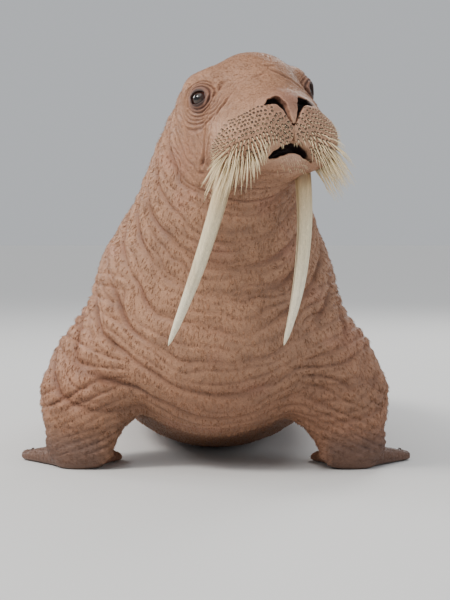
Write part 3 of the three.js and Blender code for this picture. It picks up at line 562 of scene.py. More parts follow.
# lines on the face, in the head's own x (outwards), f, z: [side or 0 for both, points, width, depth]
FACE_LINES = [
    (0, [(106, 92, 19), (125, 81, 2), (147, 73, -21), (158, 66, -31), (166, 64, -53), (172, 61, -80), (176, 54, -100), (178, 34, -138), (168, -5, -177), (150, -60, -196)], 8, 6.5),
    (0, [(152, 77, -36), (160, 72, -47), (169, 66, -70), (175, 60, -96)], 4, 2.6),
    (0, [(73, 130, 3), (90, 122, -4), (109, 117, -22), (131, 114, -47), (152, 103, -71), (167, 92, -95), (173, 86, -111)], 5, 4.8),
    (0, [(141, 107, -53), (160, 95, -77), (174, 80, -100)], 4, 2.4),
    (0, [(122, 124, -58), (139, 117, -72)], 3.5, 2.2),
    (0, [(126, 126, -73), (150, 112, -90)], 3.5, 2.2),
    (0, [(171, 92, -126), (178, 74, -145), (178, 43, -169), (166, -6, -183)], 6.5, 4.5),
    (1, [(-10, 140, 30), (14, 146, 18), (36, 146, 6), (62, 141, -6), (87, 131, -17), (102, 122, -22), (126, 104, -24)], 7, 5.5),
    (-1, [(20, 144, 16), (44, 142, 8), (62, 134, 6)], 6, 1.6),
    (0, [(60, 126, -28), (92, 122, -34)], 4, 1.4),
    (0, [(183, -99, -15), (188, -63, -58), (183, -60, -119)], 9, 4.5),
    (0, [(187, -150, -54), (192, -127, -90), (190, -116, -130)], 9, 4.0),
    (0, [(189, -100, -95), (184, -83, -153), (170, -60, -190)], 9, 4.5),
    (0, [(195, -161, -85), (192, -150, -150), (188, -145, -228)], 11, 5.0),
    (0, [(179, -125, -237), (161, -111, -285)], 9, 4.0),
    (0, [(177, -106, -34), (180, -108, -54)], 4, 5.0),
    (1, [(20, 128, 36), (0, 132, 38), (-20, 128, 36)], 6, 1.6),
    (1, [(40, 160, -16), (5, 168, -12), (-34, 158, -16)], 7, 2.2),
    (1, [(46, 176, -44), (8, 186, -38), (-36, 174, -44)], 6, 2.0),
    (0, [(120, 60, -230), (150, 20, -226), (160, -30, -215), (150, -80, -195)], 10, 3.0),
    (0, [(90, 60, -262), (120, 0, -262), (130, -60, -240)], 10, 2.4),
]


def around_eye(P, s):
    w, u, l = eye_coords(P, s)
    return w, u, l, np.sqrt(w * w + u * u)


def whisker_roots():
    """rows over each pad: side, row, share of the row, how far down (0 top row, 1 where the long bristles begin, more below)"""
    rng = np.random.default_rng(11)
    out = []
    for s in (-1, 1):
        centre = np.array([s * 88.0 if s < 0 else 80.0, 96, -150])
        for row in range(13):
            down = row / 8.0
            turns = np.arange(-40, 118, 5.6 if row < 9 else 6.4) + 2.8 * (row % 2)
            for a in turns:
                a = a + rng.uniform(-1.1, 1.1)
                top = np.interp(a, [-40, -25, -12, 2, 25, 51, 72, 97, 118], [-2, 12, 26, 29, 22, 14, -5, -15, -22])
                low = np.interp(a, [-40, -21, -7, 8, 27, 46, 77, 104, 123], [-24, -19, -23, -28, -32, -35, -40, -40, -39])
                e = top + (low - top) * min(down, 1) - max(down - 1, 0) * 42 + rng.uniform(-1.0, 1.0)
                if (a > 100 and row in (1, 3, 5)) or (a < -14 and row > 8):
                    continue
                o, e = math.radians(a), math.radians(e)
                out.append((s, row, (a + 40) / 158, down, *centre, s * math.sin(o) * math.cos(e), math.cos(o) * math.cos(e), math.sin(e)))
    a = np.array(out)
    start, d = a[:, 4:7], a[:, 7:10]
    t = np.full(len(a), 150.0)
    P0 = np.array([H(*p) for p in start])
    D = (d * FLIP) @ RH.T
    for _ in range(40):                       # inwards until the skin is met
        P = P0 + D * t[:, None]
        v = field(P)
        t -= np.clip(v, -8, 8) * 0.8
    P = P0 + D * t[:, None]
    g = slope(P.astype(F32), field(P)).astype(float)
    N = g / np.linalg.norm(g, axis=1, keepdims=True)
    h = to_head(P)
    # nothing in the nostrils, on the lip, or at the mouth's edge
    ok = (np.abs(field(P)) < 1.0) & (h[:, 1] > 15) & (h[:, 2] > -262)
    for sign in (-1, 1):
        e, _ = near_line(h, [p[:3] for p in NOSTRILS[sign]])
        ok &= e > 15
    ok &= np.abs(h[:, 0] - 7) > 8
    e, _ = near_line(h, [p[:3] for p in MOUTH])
    ok &= e > 14
    for s in (-1, 1):                         # nor where the tusks come out
        m = a[:, 0] == s
        row = np.array(TUSKS[s], float)
        e, _ = near_line(P, [row[0], row[0] + 0.25 * (row[1] - row[0])])
        ok &= ~(m & (e < TUSK_RADIUS + 4))
    return a[ok], P[ok], N[ok], h[ok]


def relief(P, N):
    """height over the plain skin in mm, and how deep in a crease each point is (0 to 1)"""
    n = len(P)
    out = np.zeros(n, F32)
    deep = np.zeros(n, F32)
    h = to_head(P).astype(F32)
    r = P - NECK_FOOT.astype(F32)
    along = r @ NECK_U.astype(F32)
    front, aside = r @ NECK_FRONT.astype(F32), r @ NECK_SIDE.astype(F32)
    ang = np.arctan2(aside, front)
    on_face = smooth(-150, -95, h[:, 1]) * smooth(-285, -235, h[:, 2] - 0.35 * np.maximum(-h[:, 1], 0)) * smooth(300, 260, np.linalg.norm(h - np.array([0, -20, -90], F32), axis=1))
    body = 1 - on_face
    w1, w2 = rough_noise(P, 210, 3), rough_noise(P, 90, 4, 2)

    def add(height, crease, weight):
        nonlocal out, deep
        out += height * weight
        deep = np.maximum(deep, crease * weight)

    # necklaces round the throat and chest: they hang from the sides of the neck and meet low in front
    x, y, z = P[:, 0], P[:, 1], P[:, 2]
    neck = smooth(-250, -60, along) * smooth(760, 640, along) * smooth(520, 330, y) * body
    hang = 150 * np.cos(ang) * smooth(-0.6, 0.5, np.cos(ang))
    s1 = along + hang + 34 * w1 + 9 * w2
    strong = np.clip(0.55 + 0.65 * rough_noise(P, (260, 260, 120), 8, 2), 0.12, 1.15)
    sideways = 0.45 + 0.55 * smooth(0.15, 0.9, np.abs(np.sin(ang)))
    f = folds(s1, 88)
    add(20 * f * strong * sideways, np.clip(-f * 1.3, 0, 1) * np.clip(strong * sideways * 1.2, 0, 1), neck)
    f2 = folds(s1 * 1.0 + 26 * w2 + 17, 37, 0.04)
    fine = np.clip(0.55 + rough_noise(P, 130, 9, 2), 0.1, 1)
    add(6.2 * f2 * fine * (0.55 + 0.45 * sideways), np.clip(-f2, 0, 1) * 0.7 * fine, neck)
    # rolls at the nape, where the raised head presses the neck together
    nape = smooth(0.1, -0.55, np.cos(ang)) * smooth(330, 430, along) * smooth(860, 780, along) * body
    f = folds(along + 16 * w1 + 30 * np.abs(np.sin(ang)), 74)
    add(12 * f, np.clip(-f, 0, 1), nape)
    # under the jaw
    throat = smooth(0.2, 0.7, np.cos(ang)) * smooth(520, 600, along) * body
    f = folds(along + 60 * np.cos(ang) + 12 * w1, 43)
    add(6 * f, np.clip(-f, 0, 1) * 0.8, throat)
    # shoulder and upper arm: closer folds that slope down towards the chest
    ax = np.abs(x + 6)
    arm = smooth(225, 300, ax) * smooth(640, 520, z) * smooth(150, 200, z) * smooth(300, 150, y)
    slant = 0.45 - 1.0 * smooth(230, 370, z)
    f = folds(z + slant * (ax - 340) + 0.12 * y + 18 * w1 + 9 * w2, 42, 0.05)
    part = np.clip(0.6 + 0.8 * rough_noise(P, 150, 12, 2), 0.12, 1.1)
    add(10.0 * f * part, np.clip(-f, 0, 1) * 0.9 * np.clip(part, 0, 1), arm)
    f = folds(z + slant * (ax - 340) + 0.1 * y + 14 * w1 + 12 * w2 + 9, 19, 0.07)
    part = np.clip(0.5 + rough_noise(P, 90, 18, 2), 0.0, 1)
    add(2.6 * f * part, np.clip(-f, 0, 1) * 0.45 * part, arm)
    fore = smooth(240, 290, ax) * smooth(250, 190, z) * smooth(30, 60, z) * smooth(260, 160, y)
    f = folds(z + 0.42 * (ax - 380) + 9 * w2 + 5 * w1, 24, 0.06)
    part = np.clip(0.6 + 0.8 * rough_noise(P, 80, 13, 2), 0.15, 1.1)
    add(5.4 * f * part, np.clip(-f, 0, 1) * 0.8 * np.clip(part, 0, 1), fore)
    # armpit: folds that fan out behind the arm
    r2 = np.stack([y - 60, z - 210], 1)
    fan = np.arctan2(r2[:, 1], r2[:, 0])
    rr = np.hypot(r2[:, 0], r2[:, 1])
    pit = smooth(60, 110, y) * smooth(420, 240, rr) * smooth(60, 130, rr) * smooth(230, 300, ax)
    f = folds(fan * 230 + 20 * w2, 74, 0.05)
    add(7 * f * strong, np.clip(-f, 0, 1) * 0.7, pit)
    # flank, back and belly: wide soft rolls across, with finer ones between
    flank = smooth(330, 520, y) * smooth(2050, 1700, y)
    low = smooth(520, 200, z)
    f = folds(y + 0.35 * (z - 300) + 46 * w1 + 12 * w2, 132, 0.05)
    add(9 * f * np.clip(0.25 + 0.8 * rough_noise(P, (400, 260, 300), 15, 2), 0, 1) * (0.5 + 0.5 * low), np.clip(-f, 0, 1) * 0.5 * np.clip(0.25 + 0.8 * rough_noise(P, (400, 260, 300), 15, 2), 0, 1), flank)
    f = folds(y + 0.2 * z + 22 * w1 + 14 * w2, 46, 0.07)
    add(2.8 * f * np.clip(0.4 + 0.9 * rough_noise(P, 240, 16, 2), 0, 1), np.clip(-f, 0, 1) * 0.3, flank)
    # the skin bunches where the belly meets the ground
    f = folds(z + 7 * w2 + 10 * w1, 34, 0.06)
    add(4.0 * f, np.clip(-f, 0, 1) * 0.5, smooth(140, 90, z) * smooth(22, 45, z) * smooth(150, 350, y) * smooth(1950, 1750, y))
    # rump and ankles
    back = smooth(1650, 1800, y) * smooth(18, 40, z)
    f = folds(y - 0.25 * z + 14 * w1 + 7 * w2, 39, 0.06)
    add(4.0 * f * np.clip(0.5 + 0.8 * rough_noise(P, 120, 17, 2), 0.1, 1), np.clip(-f, 0, 1) * 0.5, back * smooth(2190, 2130, y))
    # feet: tendons, knuckle creases across the digits, a scored web
    for base, digits, sy in ((WRIST, FORE_DIGITS, 0), (HEEL, HIND_DIGITS, 1)):
        for s in (-1, 1):
            m = (np.linalg.norm(P - base[s].astype(F32), axis=1) < 470) & (x * s > 0) & (z < 130)
            if not m.any():
                continue
            q = P[m] - base[s].astype(F32)
            d = np.hypot(q[:, 0], q[:, 1])
            a = np.degrees(np.arctan2(q[:, 1], q[:, 0] * s))
            gap = np.min([np.abs(a - t) for t, _ in digits], axis=0)
            past = smooth(40, 90, d)
            f = folds(d + 5 * w2[m], 19 if sy == 0 else 24, 0.08)
            e = 1.7 * f * past * smooth(0, 10, z[m] - 3)
            e -= 2.2 * smooth(4, 9, gap) * past * smooth(5, 11, z[m])
            out[m] += e
            deep[m] = np.maximum(deep[m], np.clip(-f, 0, 1) * 0.35 * past)
    # broad unevenness of hide over blubber, and knobs on the neck and shoulders of a bull
    out += body * (3.0 * w1 + 1.4 * w2)
    knobs = neck * smooth(0.9, 0.2, np.cos(ang)) * smooth(-80, 60, along)
    k = noise(P, 34, 21)
    out += 4.0 * smooth(0.25, 0.8, k) * knobs * np.clip(0.4 + noise(P, 200, 22), 0, 1)
    # face
    m = np.linalg.norm(h - np.array([0, -20, -90], F32), axis=1) < 330
    if m.any():
        Q, Pm = h[m], P[m]
        lines, line_deep = np.zeros(len(Q), F32), np.zeros(len(Q), F32)
        e = np.zeros(len(Q), F32)
        dd = np.zeros(len(Q), F32)
        jitter = noise(Pm, 26, 33) * 2.2
        for side, line, wide, depth in FACE_LINES:
            for s in ((-1, 1) if side == 0 else (side,)):
                line_s = bent([((s if side == 0 else 1 if side > 0 else -1) * p[0], p[1], p[2]) for p in line])
                far, at = near_line(Q + jitter[:, None] * 0.5, line_s)
                ends = smooth(0, 0.18, at) * smooth(1, 0.82, at)
                v = np.exp(-(far / (wide * 0.62)) ** 2)
                rim = np.exp(-((far - wide * 1.25) / (wide * 0.7)) ** 2)
                more = 1.5 if wide < 8.5 else 1.0
                lines += (-depth * v + depth * 0.28 * rim) * ends * more
                line_deep = np.maximum(line_deep, v * ends * min(1, depth / 2.8) * (1 if wide < 8.5 else 0.55))
        for s in (-1, 1):
            wv, u, l, rad = around_eye(Pm, s)
            close = (l > -35) & (rad < 130)
            # rings of the lids: close above, and a stack of bags hanging below
            tilt = np.arctan2(u, wv)
            below = smooth(0.1, -0.7, np.sin(tilt))
            above = 1 - below
            ring = rad * (1 - 0.10 * np.cos(2 * tilt))
            for radius, wide, depth, where in ((33, 2.6, 2.6, 1.0), (42, 3.2, 2.0, above), (50, 3.0, 1.4, above * smooth(0.2, 0.8, np.sin(tilt))),
                                               (41, 2.8, 2.2, below), (50, 3.2, 2.6, below), (60, 3.6, 3.0, below), (72, 4.5, 3.4, below * 0.9), (86, 5.0, 2.6, below * 0.8)):
                off = ring + 1.5 * jitter - radius
                v = np.exp(-(off / wide) ** 2) * where * close
                e += 1.45 * (-depth * v + depth * 0.3 * np.exp(-((np.abs(off) - wide * 1.9) / wide) ** 2) * where * close)
                dd = np.maximum(dd, v * 0.95)
            # crow's feet behind the eye
            behind = smooth(-0.6, -0.9, np.cos(tilt)) * smooth(34, 44, rad) * smooth(105, 70, rad) * close
            f = folds(tilt * 60 + 3 * jitter, 19, 0.08)
            e += 1.6 * f * behind
            dd = np.maximum(dd, np.clip(-f, 0, 1) * 0.3 * behind)
        # fine wrinkles across the bridge and cheeks
        across = smooth(-60, 40, Q[:, 2] + 0.2 * Q[:, 1]) * smooth(60, 110, Q[:, 1])
        f = folds(Q[:, 1] * 0.55 - Q[:, 2] * 0.9 + 5 * jitter, 21, 0.08)
        e += 0.9 * f * across * np.clip(0.5 + noise(Pm, 60, 34), 0, 1)
        cheek = smooth(120, 150, np.abs(Q[:, 0])) * smooth(-40, -70, Q[:, 2])
        f = folds(Q[:, 1] * 0.8 + Q[:, 2] * 0.35 + 4 * jitter, 24, 0.08)
        e += 1.6 * f * cheek
        dd = np.maximum(dd, np.clip(-f, 0, 1) * 0.25 * cheek)
        e += 1.5 * noise(Pm, 55, 35) + 0.5 * noise(Pm, 17, 36)
        # a small mound round each whisker's root
        order = np.argsort(Q[:, 2])
        zs_ = Q[order, 2]
        for root in WHISKER_HEAD:
            i, j = np.searchsorted(zs_, (root[2] - 12, root[2] + 12))
            part = order[i:j]
            far = np.linalg.norm(Q[part] - root, axis=1)
            hit = far < 12
            part, far = part[hit], far[hit]
            e[part] += 1.1 * np.exp(-((far - 5.0) / 2.2) ** 2) - 1.7 * np.exp(-(far / 2.4) ** 2)
        keep = on_face[m]
        for s in (-1, 1):                       # the lids' edges stay clean
            wv, u, l, rad = around_eye(Pm, s)
            keep = keep * np.where((l > -20), smooth(23, 32, rad), 1)
        clean = keep / np.maximum(on_face[m], 1e-3)
        clean = np.where(on_face[m] > 1e-3, clean, 1)
        out[m] += e * keep + lines * clean
        deep[m] = np.maximum(deep[m], np.maximum(dd * keep, line_deep * clean))
    # nothing presses through the ground or moves the flats
    out *= smooth(2, 14, z)
    return out, np.clip(deep, 0, 1), on_face


# ------------------------------------------------------------------ mesh tools
def new_mesh(name, V, lv, starts, uv=None):
    me = bpy.data.meshes.new(name)
    me.vertices.add(len(V))
    me.vertices.foreach_set("co", np.ascontiguousarray(V, F32).ravel())
    me.loops.add(len(lv))
    me.loops.foreach_set("vertex_index", np.ascontiguousarray(lv, np.int32))
    me.polygons.add(len(starts))
    me.polygons.foreach_set("loop_start", np.ascontiguousarray(starts, np.int32))
    me.polygons.foreach_set("use_smooth", np.ones(len(starts), bool))
    if uv is not None:
        layer = me.uv_layers.new(name="OFBake")
        layer.uv.foreach_set("vector", np.ascontiguousarray(uv, F32).ravel())
    me.update(calc_edges=True)
    return me


def new_object(name, me, material=None):
    ob = bpy.data.objects.new(name, me)
    bpy.context.scene.collection.objects.link(ob)
    if material is not None:
        me.materials.append(material)
    return ob


def paint(me, name, values):
    values = np.asarray(values, F32)
    if values.ndim == 1:
        at = me.attributes.new(name=name, type="FLOAT", domain="POINT")
        at.data.foreach_set("value", values)
    else:
        at = me.color_attributes.new(name=name, type="FLOAT_COLOR", domain="POINT")
        at.data.foreach_set("color", np.c_[values, np.ones(len(values), F32)].astype(F32).ravel())


def split(V, starts, lv, uv, mark):
    """cuts each marked face into as many quads as it has corners; its neighbours take up the new points"""
    F = len(starts)
    counts = np.diff(np.r_[starts, len(lv)])
    face_of = np.repeat(np.arange(F), counts)
    last = starts + counts - 1
    nxt = np.arange(len(lv)) + 1
    nxt[last] = starts
    prv = np.arange(len(lv)) - 1
    prv[starts] = last
    a, b = lv, lv[nxt]
    uniq, edge = np.unique(np.minimum(a, b).astype(np.int64) * len(V) + np.maximum(a, b), return_inverse=True)
    while True:
        em = np.zeros(len(uniq), bool)
        em[edge[mark[face_of]]] = True
        more = (~mark) & (np.bincount(face_of[em[edge]], minlength=F) >= 3)
        if not more.any():
            break
        mark = mark | more
    mid = np.full(len(uniq), -1, np.int64)
    mid[em] = len(V) + np.arange(em.sum())
    lo, hi = uniq[em] // len(V), uniq[em] % len(V)
    cen = np.full(F, -1, np.int64)
    cen[mark] = len(V) + em.sum() + np.arange(mark.sum())
    middle = np.add.reduceat(V[lv], starts, axis=0) / counts[:, None]
    middle_uv = np.add.reduceat(uv, starts, axis=0) / counts[:, None]
    V2 = np.concatenate([V, (V[lo] + V[hi]) / 2, middle[mark]]).astype(F32)
    half_uv = (uv + uv[nxt]) / 2
    L = np.where(mark[face_of])[0]
    q = np.stack([lv[L], mid[edge[L]], cen[face_of[L]], mid[edge[prv[L]]]], 1)
    quv = np.stack([uv[L], half_uv[L], middle_uv[face_of[L]], half_uv[prv[L]]], 1)
    U = np.where(~mark[face_of])[0]
    extra = em[edge[U]]
    n = 1 + extra.astype(np.int64)
    pos = np.cumsum(n) - n
    ov, ouv = np.empty(n.sum(), np.int64), np.empty((n.sum(), 2), F32)
    ov[pos], ouv[pos] = lv[U], uv[U]
    ov[pos[extra] + 1], ouv[pos[extra] + 1] = mid[edge[U[extra]]], half_uv[U[extra]]
    first = np.r_[True, face_of[U][1:] != face_of[U][:-1]] if len(U) else np.zeros(0, bool)
    starts2 = np.r_[pos[first], len(ov) + 4 * np.arange(len(q))]
    return V2, starts2, np.r_[ov, q.ravel()], np.concatenate([ouv, quv.reshape(-1, 2)]).astype(F32)


def edges_of(starts, lv):
    counts = np.diff(np.r_[starts, len(lv)])
    nxt = np.arange(len(lv)) + 1
    nxt[starts + counts - 1] = starts
    return lv, lv[nxt], np.repeat(np.arange(len(starts)), counts), counts


def normals_of(V, starts, lv):
    a, b, face_of, counts = edges_of(starts, lv)
    va, vb = V[a].astype(float), V[b].astype(float)
    c = np.cross(va, vb)
    fn = np.add.reduceat(c, starts, axis=0)          # twice the face's area, along its normal
    N = np.stack([np.bincount(a, fn[face_of, i], len(V)) for i in range(3)], 1)
    return N / np.maximum(np.linalg.norm(N, axis=1, keepdims=True), 1e-12), fn


# ------------------------------------------------------------------ unwrap of the plain form, with the head enlarged
HEAD_MID = H(0, 20, -90)
r = verts - HEAD_MID.astype(F32)
d = np.linalg.norm(r, axis=1)
wide = HEAD_MID + r * (np.where(d < 280, 2.3 * d, d + 1.3 * 280) / d)[:, None]
me = new_mesh("unwrap", wide / 1000, quads.ravel(), 4 * np.arange(len(quads)), np.zeros((quads.size, 2)))
ob = new_object("unwrap", me)
bpy.ops.object.select_all(action="DESELECT")
bpy.context.view_layer.objects.active = ob
ob.select_set(True)
bpy.ops.object.mode_set(mode="EDIT")
bpy.ops.mesh.select_all(action="SELECT")
bpy.ops.uv.smart_project(angle_limit=1.15, island_margin=0.004, scale_to_bounds=True)
bpy.ops.object.mode_set(mode="OBJECT")
uv = np.empty(quads.size * 2, F32)
me.uv_layers["OFBake"].uv.foreach_get("vector", uv)
uv = uv.reshape(-1, 2)
bpy.data.objects.remove(ob)
bpy.data.meshes.remove(me)
said("unwrap")


# ------------------------------------------------------------------ finer where the form is finer
def wanted(P):
    """the size of a face at each place, in mm"""
    w = np.full(len(P), 9.5)
    w = np.where(P[:, 1] < 340, 6.6, w)
    feet = (P[:, 2] < 110) & ((P[:, 1] < 260) & (np.abs(P[:, 0]) > 330) | (P[:, 1] > 2040))
    w = np.where(feet, 5.2, w)
    h = to_head(P)
    head = (np.linalg.norm(P - HEAD_MID, axis=1) < 275)
    w = np.where(head, 3.8, w)
    face = head & (h[:, 1] > 30) & (h[:, 2] < -30)
    w = np.where(face, 2.7, w)
    w = np.where(head & (h[:, 1] > 50) & (h[:, 2] < -90) & (h[:, 2] > -240), 2.1, w)
    for s in (-1, 1):
        near = np.linalg.norm(P - EYE_AT[s], axis=1)
        w = np.where(near < 100, np.minimum(w, 2.6), w)
        w = np.where(near < 48, np.minimum(w, 1.7), w)
        far, _ = near_line(h, [p[:3] for p in NOSTRILS[s]])
        w = np.where(far < 26, np.minimum(w, 1.9), w)
    far, _ = near_line(h, [p[:3] for p in MOUTH])
    w = np.where(far < 30, np.minimum(w, 2.2), w)
    return w * 1.0


V = settle(verts.astype(F32), 2)
starts, lv = 4 * np.arange(len(quads)), quads.ravel()
for level in range(4):
    a, b, face_of, counts = edges_of(starts, lv)
    long = np.maximum.reduceat(np.linalg.norm(V[a] - V[b], axis=1), starts)
    middle = np.add.reduceat(V[lv], starts, axis=0) / counts[:, None]
    mark = long > 1.4 * wanted(middle)
    if mark.sum() < 50:
        break
    old = len(V)
    V, starts, lv, uv = split(V, starts, lv, uv, mark)
    V[old:] = settle(V[old:], 2)
    said("level %d: %d faces" % (level, len(starts)))
N0, _ = normals_of(V, starts, lv)
N0 = N0.astype(F32)
said("settled")

roots_info, roots_at, roots_n, WHISKER_HEAD = whisker_roots()
said("whisker roots %d" % len(roots_at))
height, crease, on_face = relief(V, N0)
SKIN = V + N0 * height[:, None]
N1, face_n = normals_of(SKIN, starts, lv)
said("relief")

# how hollow each point of the skin is: below 0 in a crease, above 0 on a ridge
a, b, face_of, counts = edges_of(starts, lv)
dv = SKIN[b] - SKIN[a]
dl = np.linalg.norm(dv, axis=1)
bend = np.bincount(a, -(dv * N1[a]).sum(1) / np.maximum(dl, 0.3) ** 2 * 10, len(SKIN)) / np.maximum(np.bincount(a, minlength=len(SKIN)), 1)
for _ in range(3):
    bend = 0.5 * bend + 0.5 * np.bincount(a, bend[b], len(SKIN)) / np.maximum(np.bincount(a, minlength=len(SKIN)), 1)
said("hollows %.2f %.2f" % (np.percentile(bend, 2), np.percentile(bend, 98)))


# ------------------------------------------------------------------ colours, linear
def mix(a, b, t):
    return a + (b - a) * np.asarray(t)[..., None]


def srgb(*c):
    c = np.array(c) / 255
    return np.where(c < 0.04045, c / 12.92, ((c + 0.055) / 1.055) ** 2.4)


def hide_colour(P, deep, bend, on_face):
    h = to_head(P)
    n = len(P)
    c = np.broadcast_to(srgb(150, 110, 84), (n, 3)).copy()
    big, mid_n = rough_noise(P, 420, 51), rough_noise(P, 130, 52)
    c = mix(c, srgb(168, 120, 92), smooth(-0.1, 0.7, big))
    c = mix(c, srgb(126, 92, 72), smooth(0.0, 0.8, -big) * 0.8)
    # paler on the chest and neck, darker on the back, greyer low on the flanks
    front = smooth(260, -120, P[:, 1]) * smooth(200, 420, P[:, 2])
    c = mix(c, srgb(176, 133, 104), front * 0.65)
    c = mix(c, srgb(118, 84, 64), smooth(480, 900, P[:, 1]) * smooth(380, 640, P[:, 2]) * 0.55)
    c = mix(c, srgb(156, 112, 92), smooth(420, 120, P[:, 2]) * smooth(300, 500, P[:, 1]) * smooth(2000, 1800, P[:, 1]) * 0.6)
    c = mix(c, srgb(182, 128, 108), smooth(0.15, 0.75, mid_n) * 0.4)
    c = mix(c, srgb(104, 76, 60), smooth(0.15, 0.8, -mid_n) * 0.5)
    c = mix(c, srgb(98, 70, 54), smooth(0.05, 0.7, rough_noise(P, 44, 57, 2)) * 0.28)
    c = c * 0.9
    # feet: darker, nearly bare
    feet = np.where(P[:, 1] < 500, smooth(150, 60, P[:, 2]) * smooth(300, 360, np.abs(P[:, 0] + 6)), smooth(1990, 2110, P[:, 1]) * smooth(190, 110, P[:, 2]))
    c = mix(c, srgb(92, 68, 57), feet * 0.85)
    # head: warm brown crown, paler pads, rosy nose
    c = mix(c, srgb(150, 108, 82), on_face * 0.5)
    crown = on_face * smooth(20, 110, h[:, 2])
    c = mix(c, srgb(130, 92, 68), crown * 0.6)
    pads = on_face * smooth(30, 140, h[:, 1]) * smooth(-40, -160, h[:, 2] + 14 * mid_n) * smooth(-250, -225, h[:, 2])
    c = mix(c, srgb(186, 148, 120), pads * 0.62)
    lip = np.exp(-(((h[:, 0] - 12) / 40) ** 2 + ((h[:, 1] - 152) / 34) ** 2 + ((h[:, 2] + 230) / 17) ** 2))
    c = mix(c, srgb(192, 154, 134), lip * 0.7)
    nose = np.exp(-(((h[:, 0] - MIDLINE) / 55) ** 2 + ((h[:, 1] - 190) / 50) ** 2 + ((h[:, 2] + 92) / 42) ** 2))
    c = mix(c, srgb(126, 84, 74), nose * 0.7)
    for s in (-1, 1):
        # the nostrils' insides nearly black: painted shade in the cuts
        far, _ = near_line(h, [(p[0], p[1] - 16, p[2]) for p in NOSTRILS[s]])
        c = mix(c, srgb(30, 17, 16), smooth(19.5, 15, far) * on_face)
        w, u, l, rad = around_eye(P, s)
        ring = smooth(46, 30, rad) * (l > -20)
        c = mix(c, srgb(96, 62, 52), ring * 0.7)
        edge = smooth(28, 23, rad) * (l > 0)
        c = mix(c, srgb(44, 26, 23), edge * 0.9)
    # the mouth's gap nearly black: painted shade
    far, _ = near_line(h, [(p[0], p[1] - 20, p[2]) for p in MOUTH[1:-1]])
    c = mix(c, srgb(34, 17, 17), smooth(25, 17, far) * on_face)
    # a dark pit at the root of each whisker: painted shade in the hollow round the root
    near = np.where((on_face > 0.5) & (h[:, 1] > 10) & (h[:, 2] < -80) & (h[:, 2] > -270))[0]
    order = near[np.argsort(h[near, 2])]
    zs_ = h[order, 2]
    for root in WHISKER_HEAD:
        i, j = np.searchsorted(zs_, (root[2] - 6, root[2] + 6))
        part = order[i:j]
        far = np.linalg.norm(h[part] - root, axis=1)
        hit = far < 6
        c[part[hit]] *= (1 - 0.84 * smooth(4.9, 2.7, far[hit]))[:, None]
    # creases darker and redder: painted shade in the folds; ridges paler: painted highlight on the crests
    c = mix(c, c * np.array([0.46, 0.36, 0.34]), np.clip(deep * 0.75 + np.clip(-bend, 0, 1) * 0.8, 0, 0.9))
    c = mix(c, np.minimum(c * 1.32 + 0.015, 1), np.clip(bend * 0.8, 0, 0.5) * (1 - deep))
    return c


COLOUR = hide_colour(SKIN, crease, bend, on_face)
said("colours")


# ------------------------------------------------------------------ materials
def shader(name):
    m = bpy.data.materials.new(name)
    m.use_nodes = True
    nt = m.node_tree
    return m, nt, nt.nodes["Principled BSDF"]


def node(nt, kind, **kw):
    n = nt.nodes.new(kind)
    for k, v in kw.items():
        if k.startswith("_"):
            n.inputs[int(k[1:])].default_value = v
        else:
            setattr(n, k, v)
    return n


def link(nt, a, b):
    nt.links.new(a, b)


def mapped(nt, scale):
    tc = node(nt, "ShaderNodeTexCoord")
    mp = node(nt, "ShaderNodeMapping")
    mp.inputs["Scale"].default_value = scale
    link(nt, tc.outputs["Object"], mp.inputs["Vector"])
    return mp.outputs["Vector"]


def noise_node(nt, vec, scale, detail=3, rough=0.55, distort=0.0):
    n = node(nt, "ShaderNodeTexNoise")
    n.inputs["Scale"].default_value = scale
    n.inputs["Detail"].default_value = detail
    n.inputs["Roughness"].default_value = rough
    n.inputs["Distortion"].default_value = distort
    if vec is not None:
        link(nt, vec, n.inputs["Vector"])
    return n.outputs["Fac"]


def remap(nt, value, a, b, c, d):
    n = node(nt, "ShaderNodeMapRange")
    for i, v in enumerate((a, b, c, d)):
        n.inputs[i + 1].default_value = v
    link(nt, value, n.inputs[0])
    return n.outputs[0]


def maths(nt, op, a, b=None):
    n = node(nt, "ShaderNodeMath", operation=op)
    for i, v in enumerate((a, b)):
        if v is None:
            continue
        if isinstance(v, (int, float)):
            n.inputs[i].default_value = v
        else:
            link(nt, v, n.inputs[i])
    return n.outputs[0]


def mixed(nt, kind, fac, a, b):
    n = node(nt, "ShaderNodeMix", data_type="RGBA", blend_type=kind)
    for i, v in ((0, fac), (6, a), (7, b)):
        if isinstance(v, (int, float)):
            n.inputs[i].default_value = v
        elif isinstance(v, tuple):
            n.inputs[i].default_value = v
        else:
            link(nt, v, n.inputs[i])
    return n.outputs[2]


def bump(nt, height, strength, dist, normal=None):
    n = node(nt, "ShaderNodeBump")
    n.inputs["Strength"].default_value = strength
    n.inputs["Distance"].default_value = dist
    link(nt, height, n.inputs["Height"])
    if normal is not None:
        link(nt, normal, n.inputs["Normal"])
    return n.outputs["Normal"]


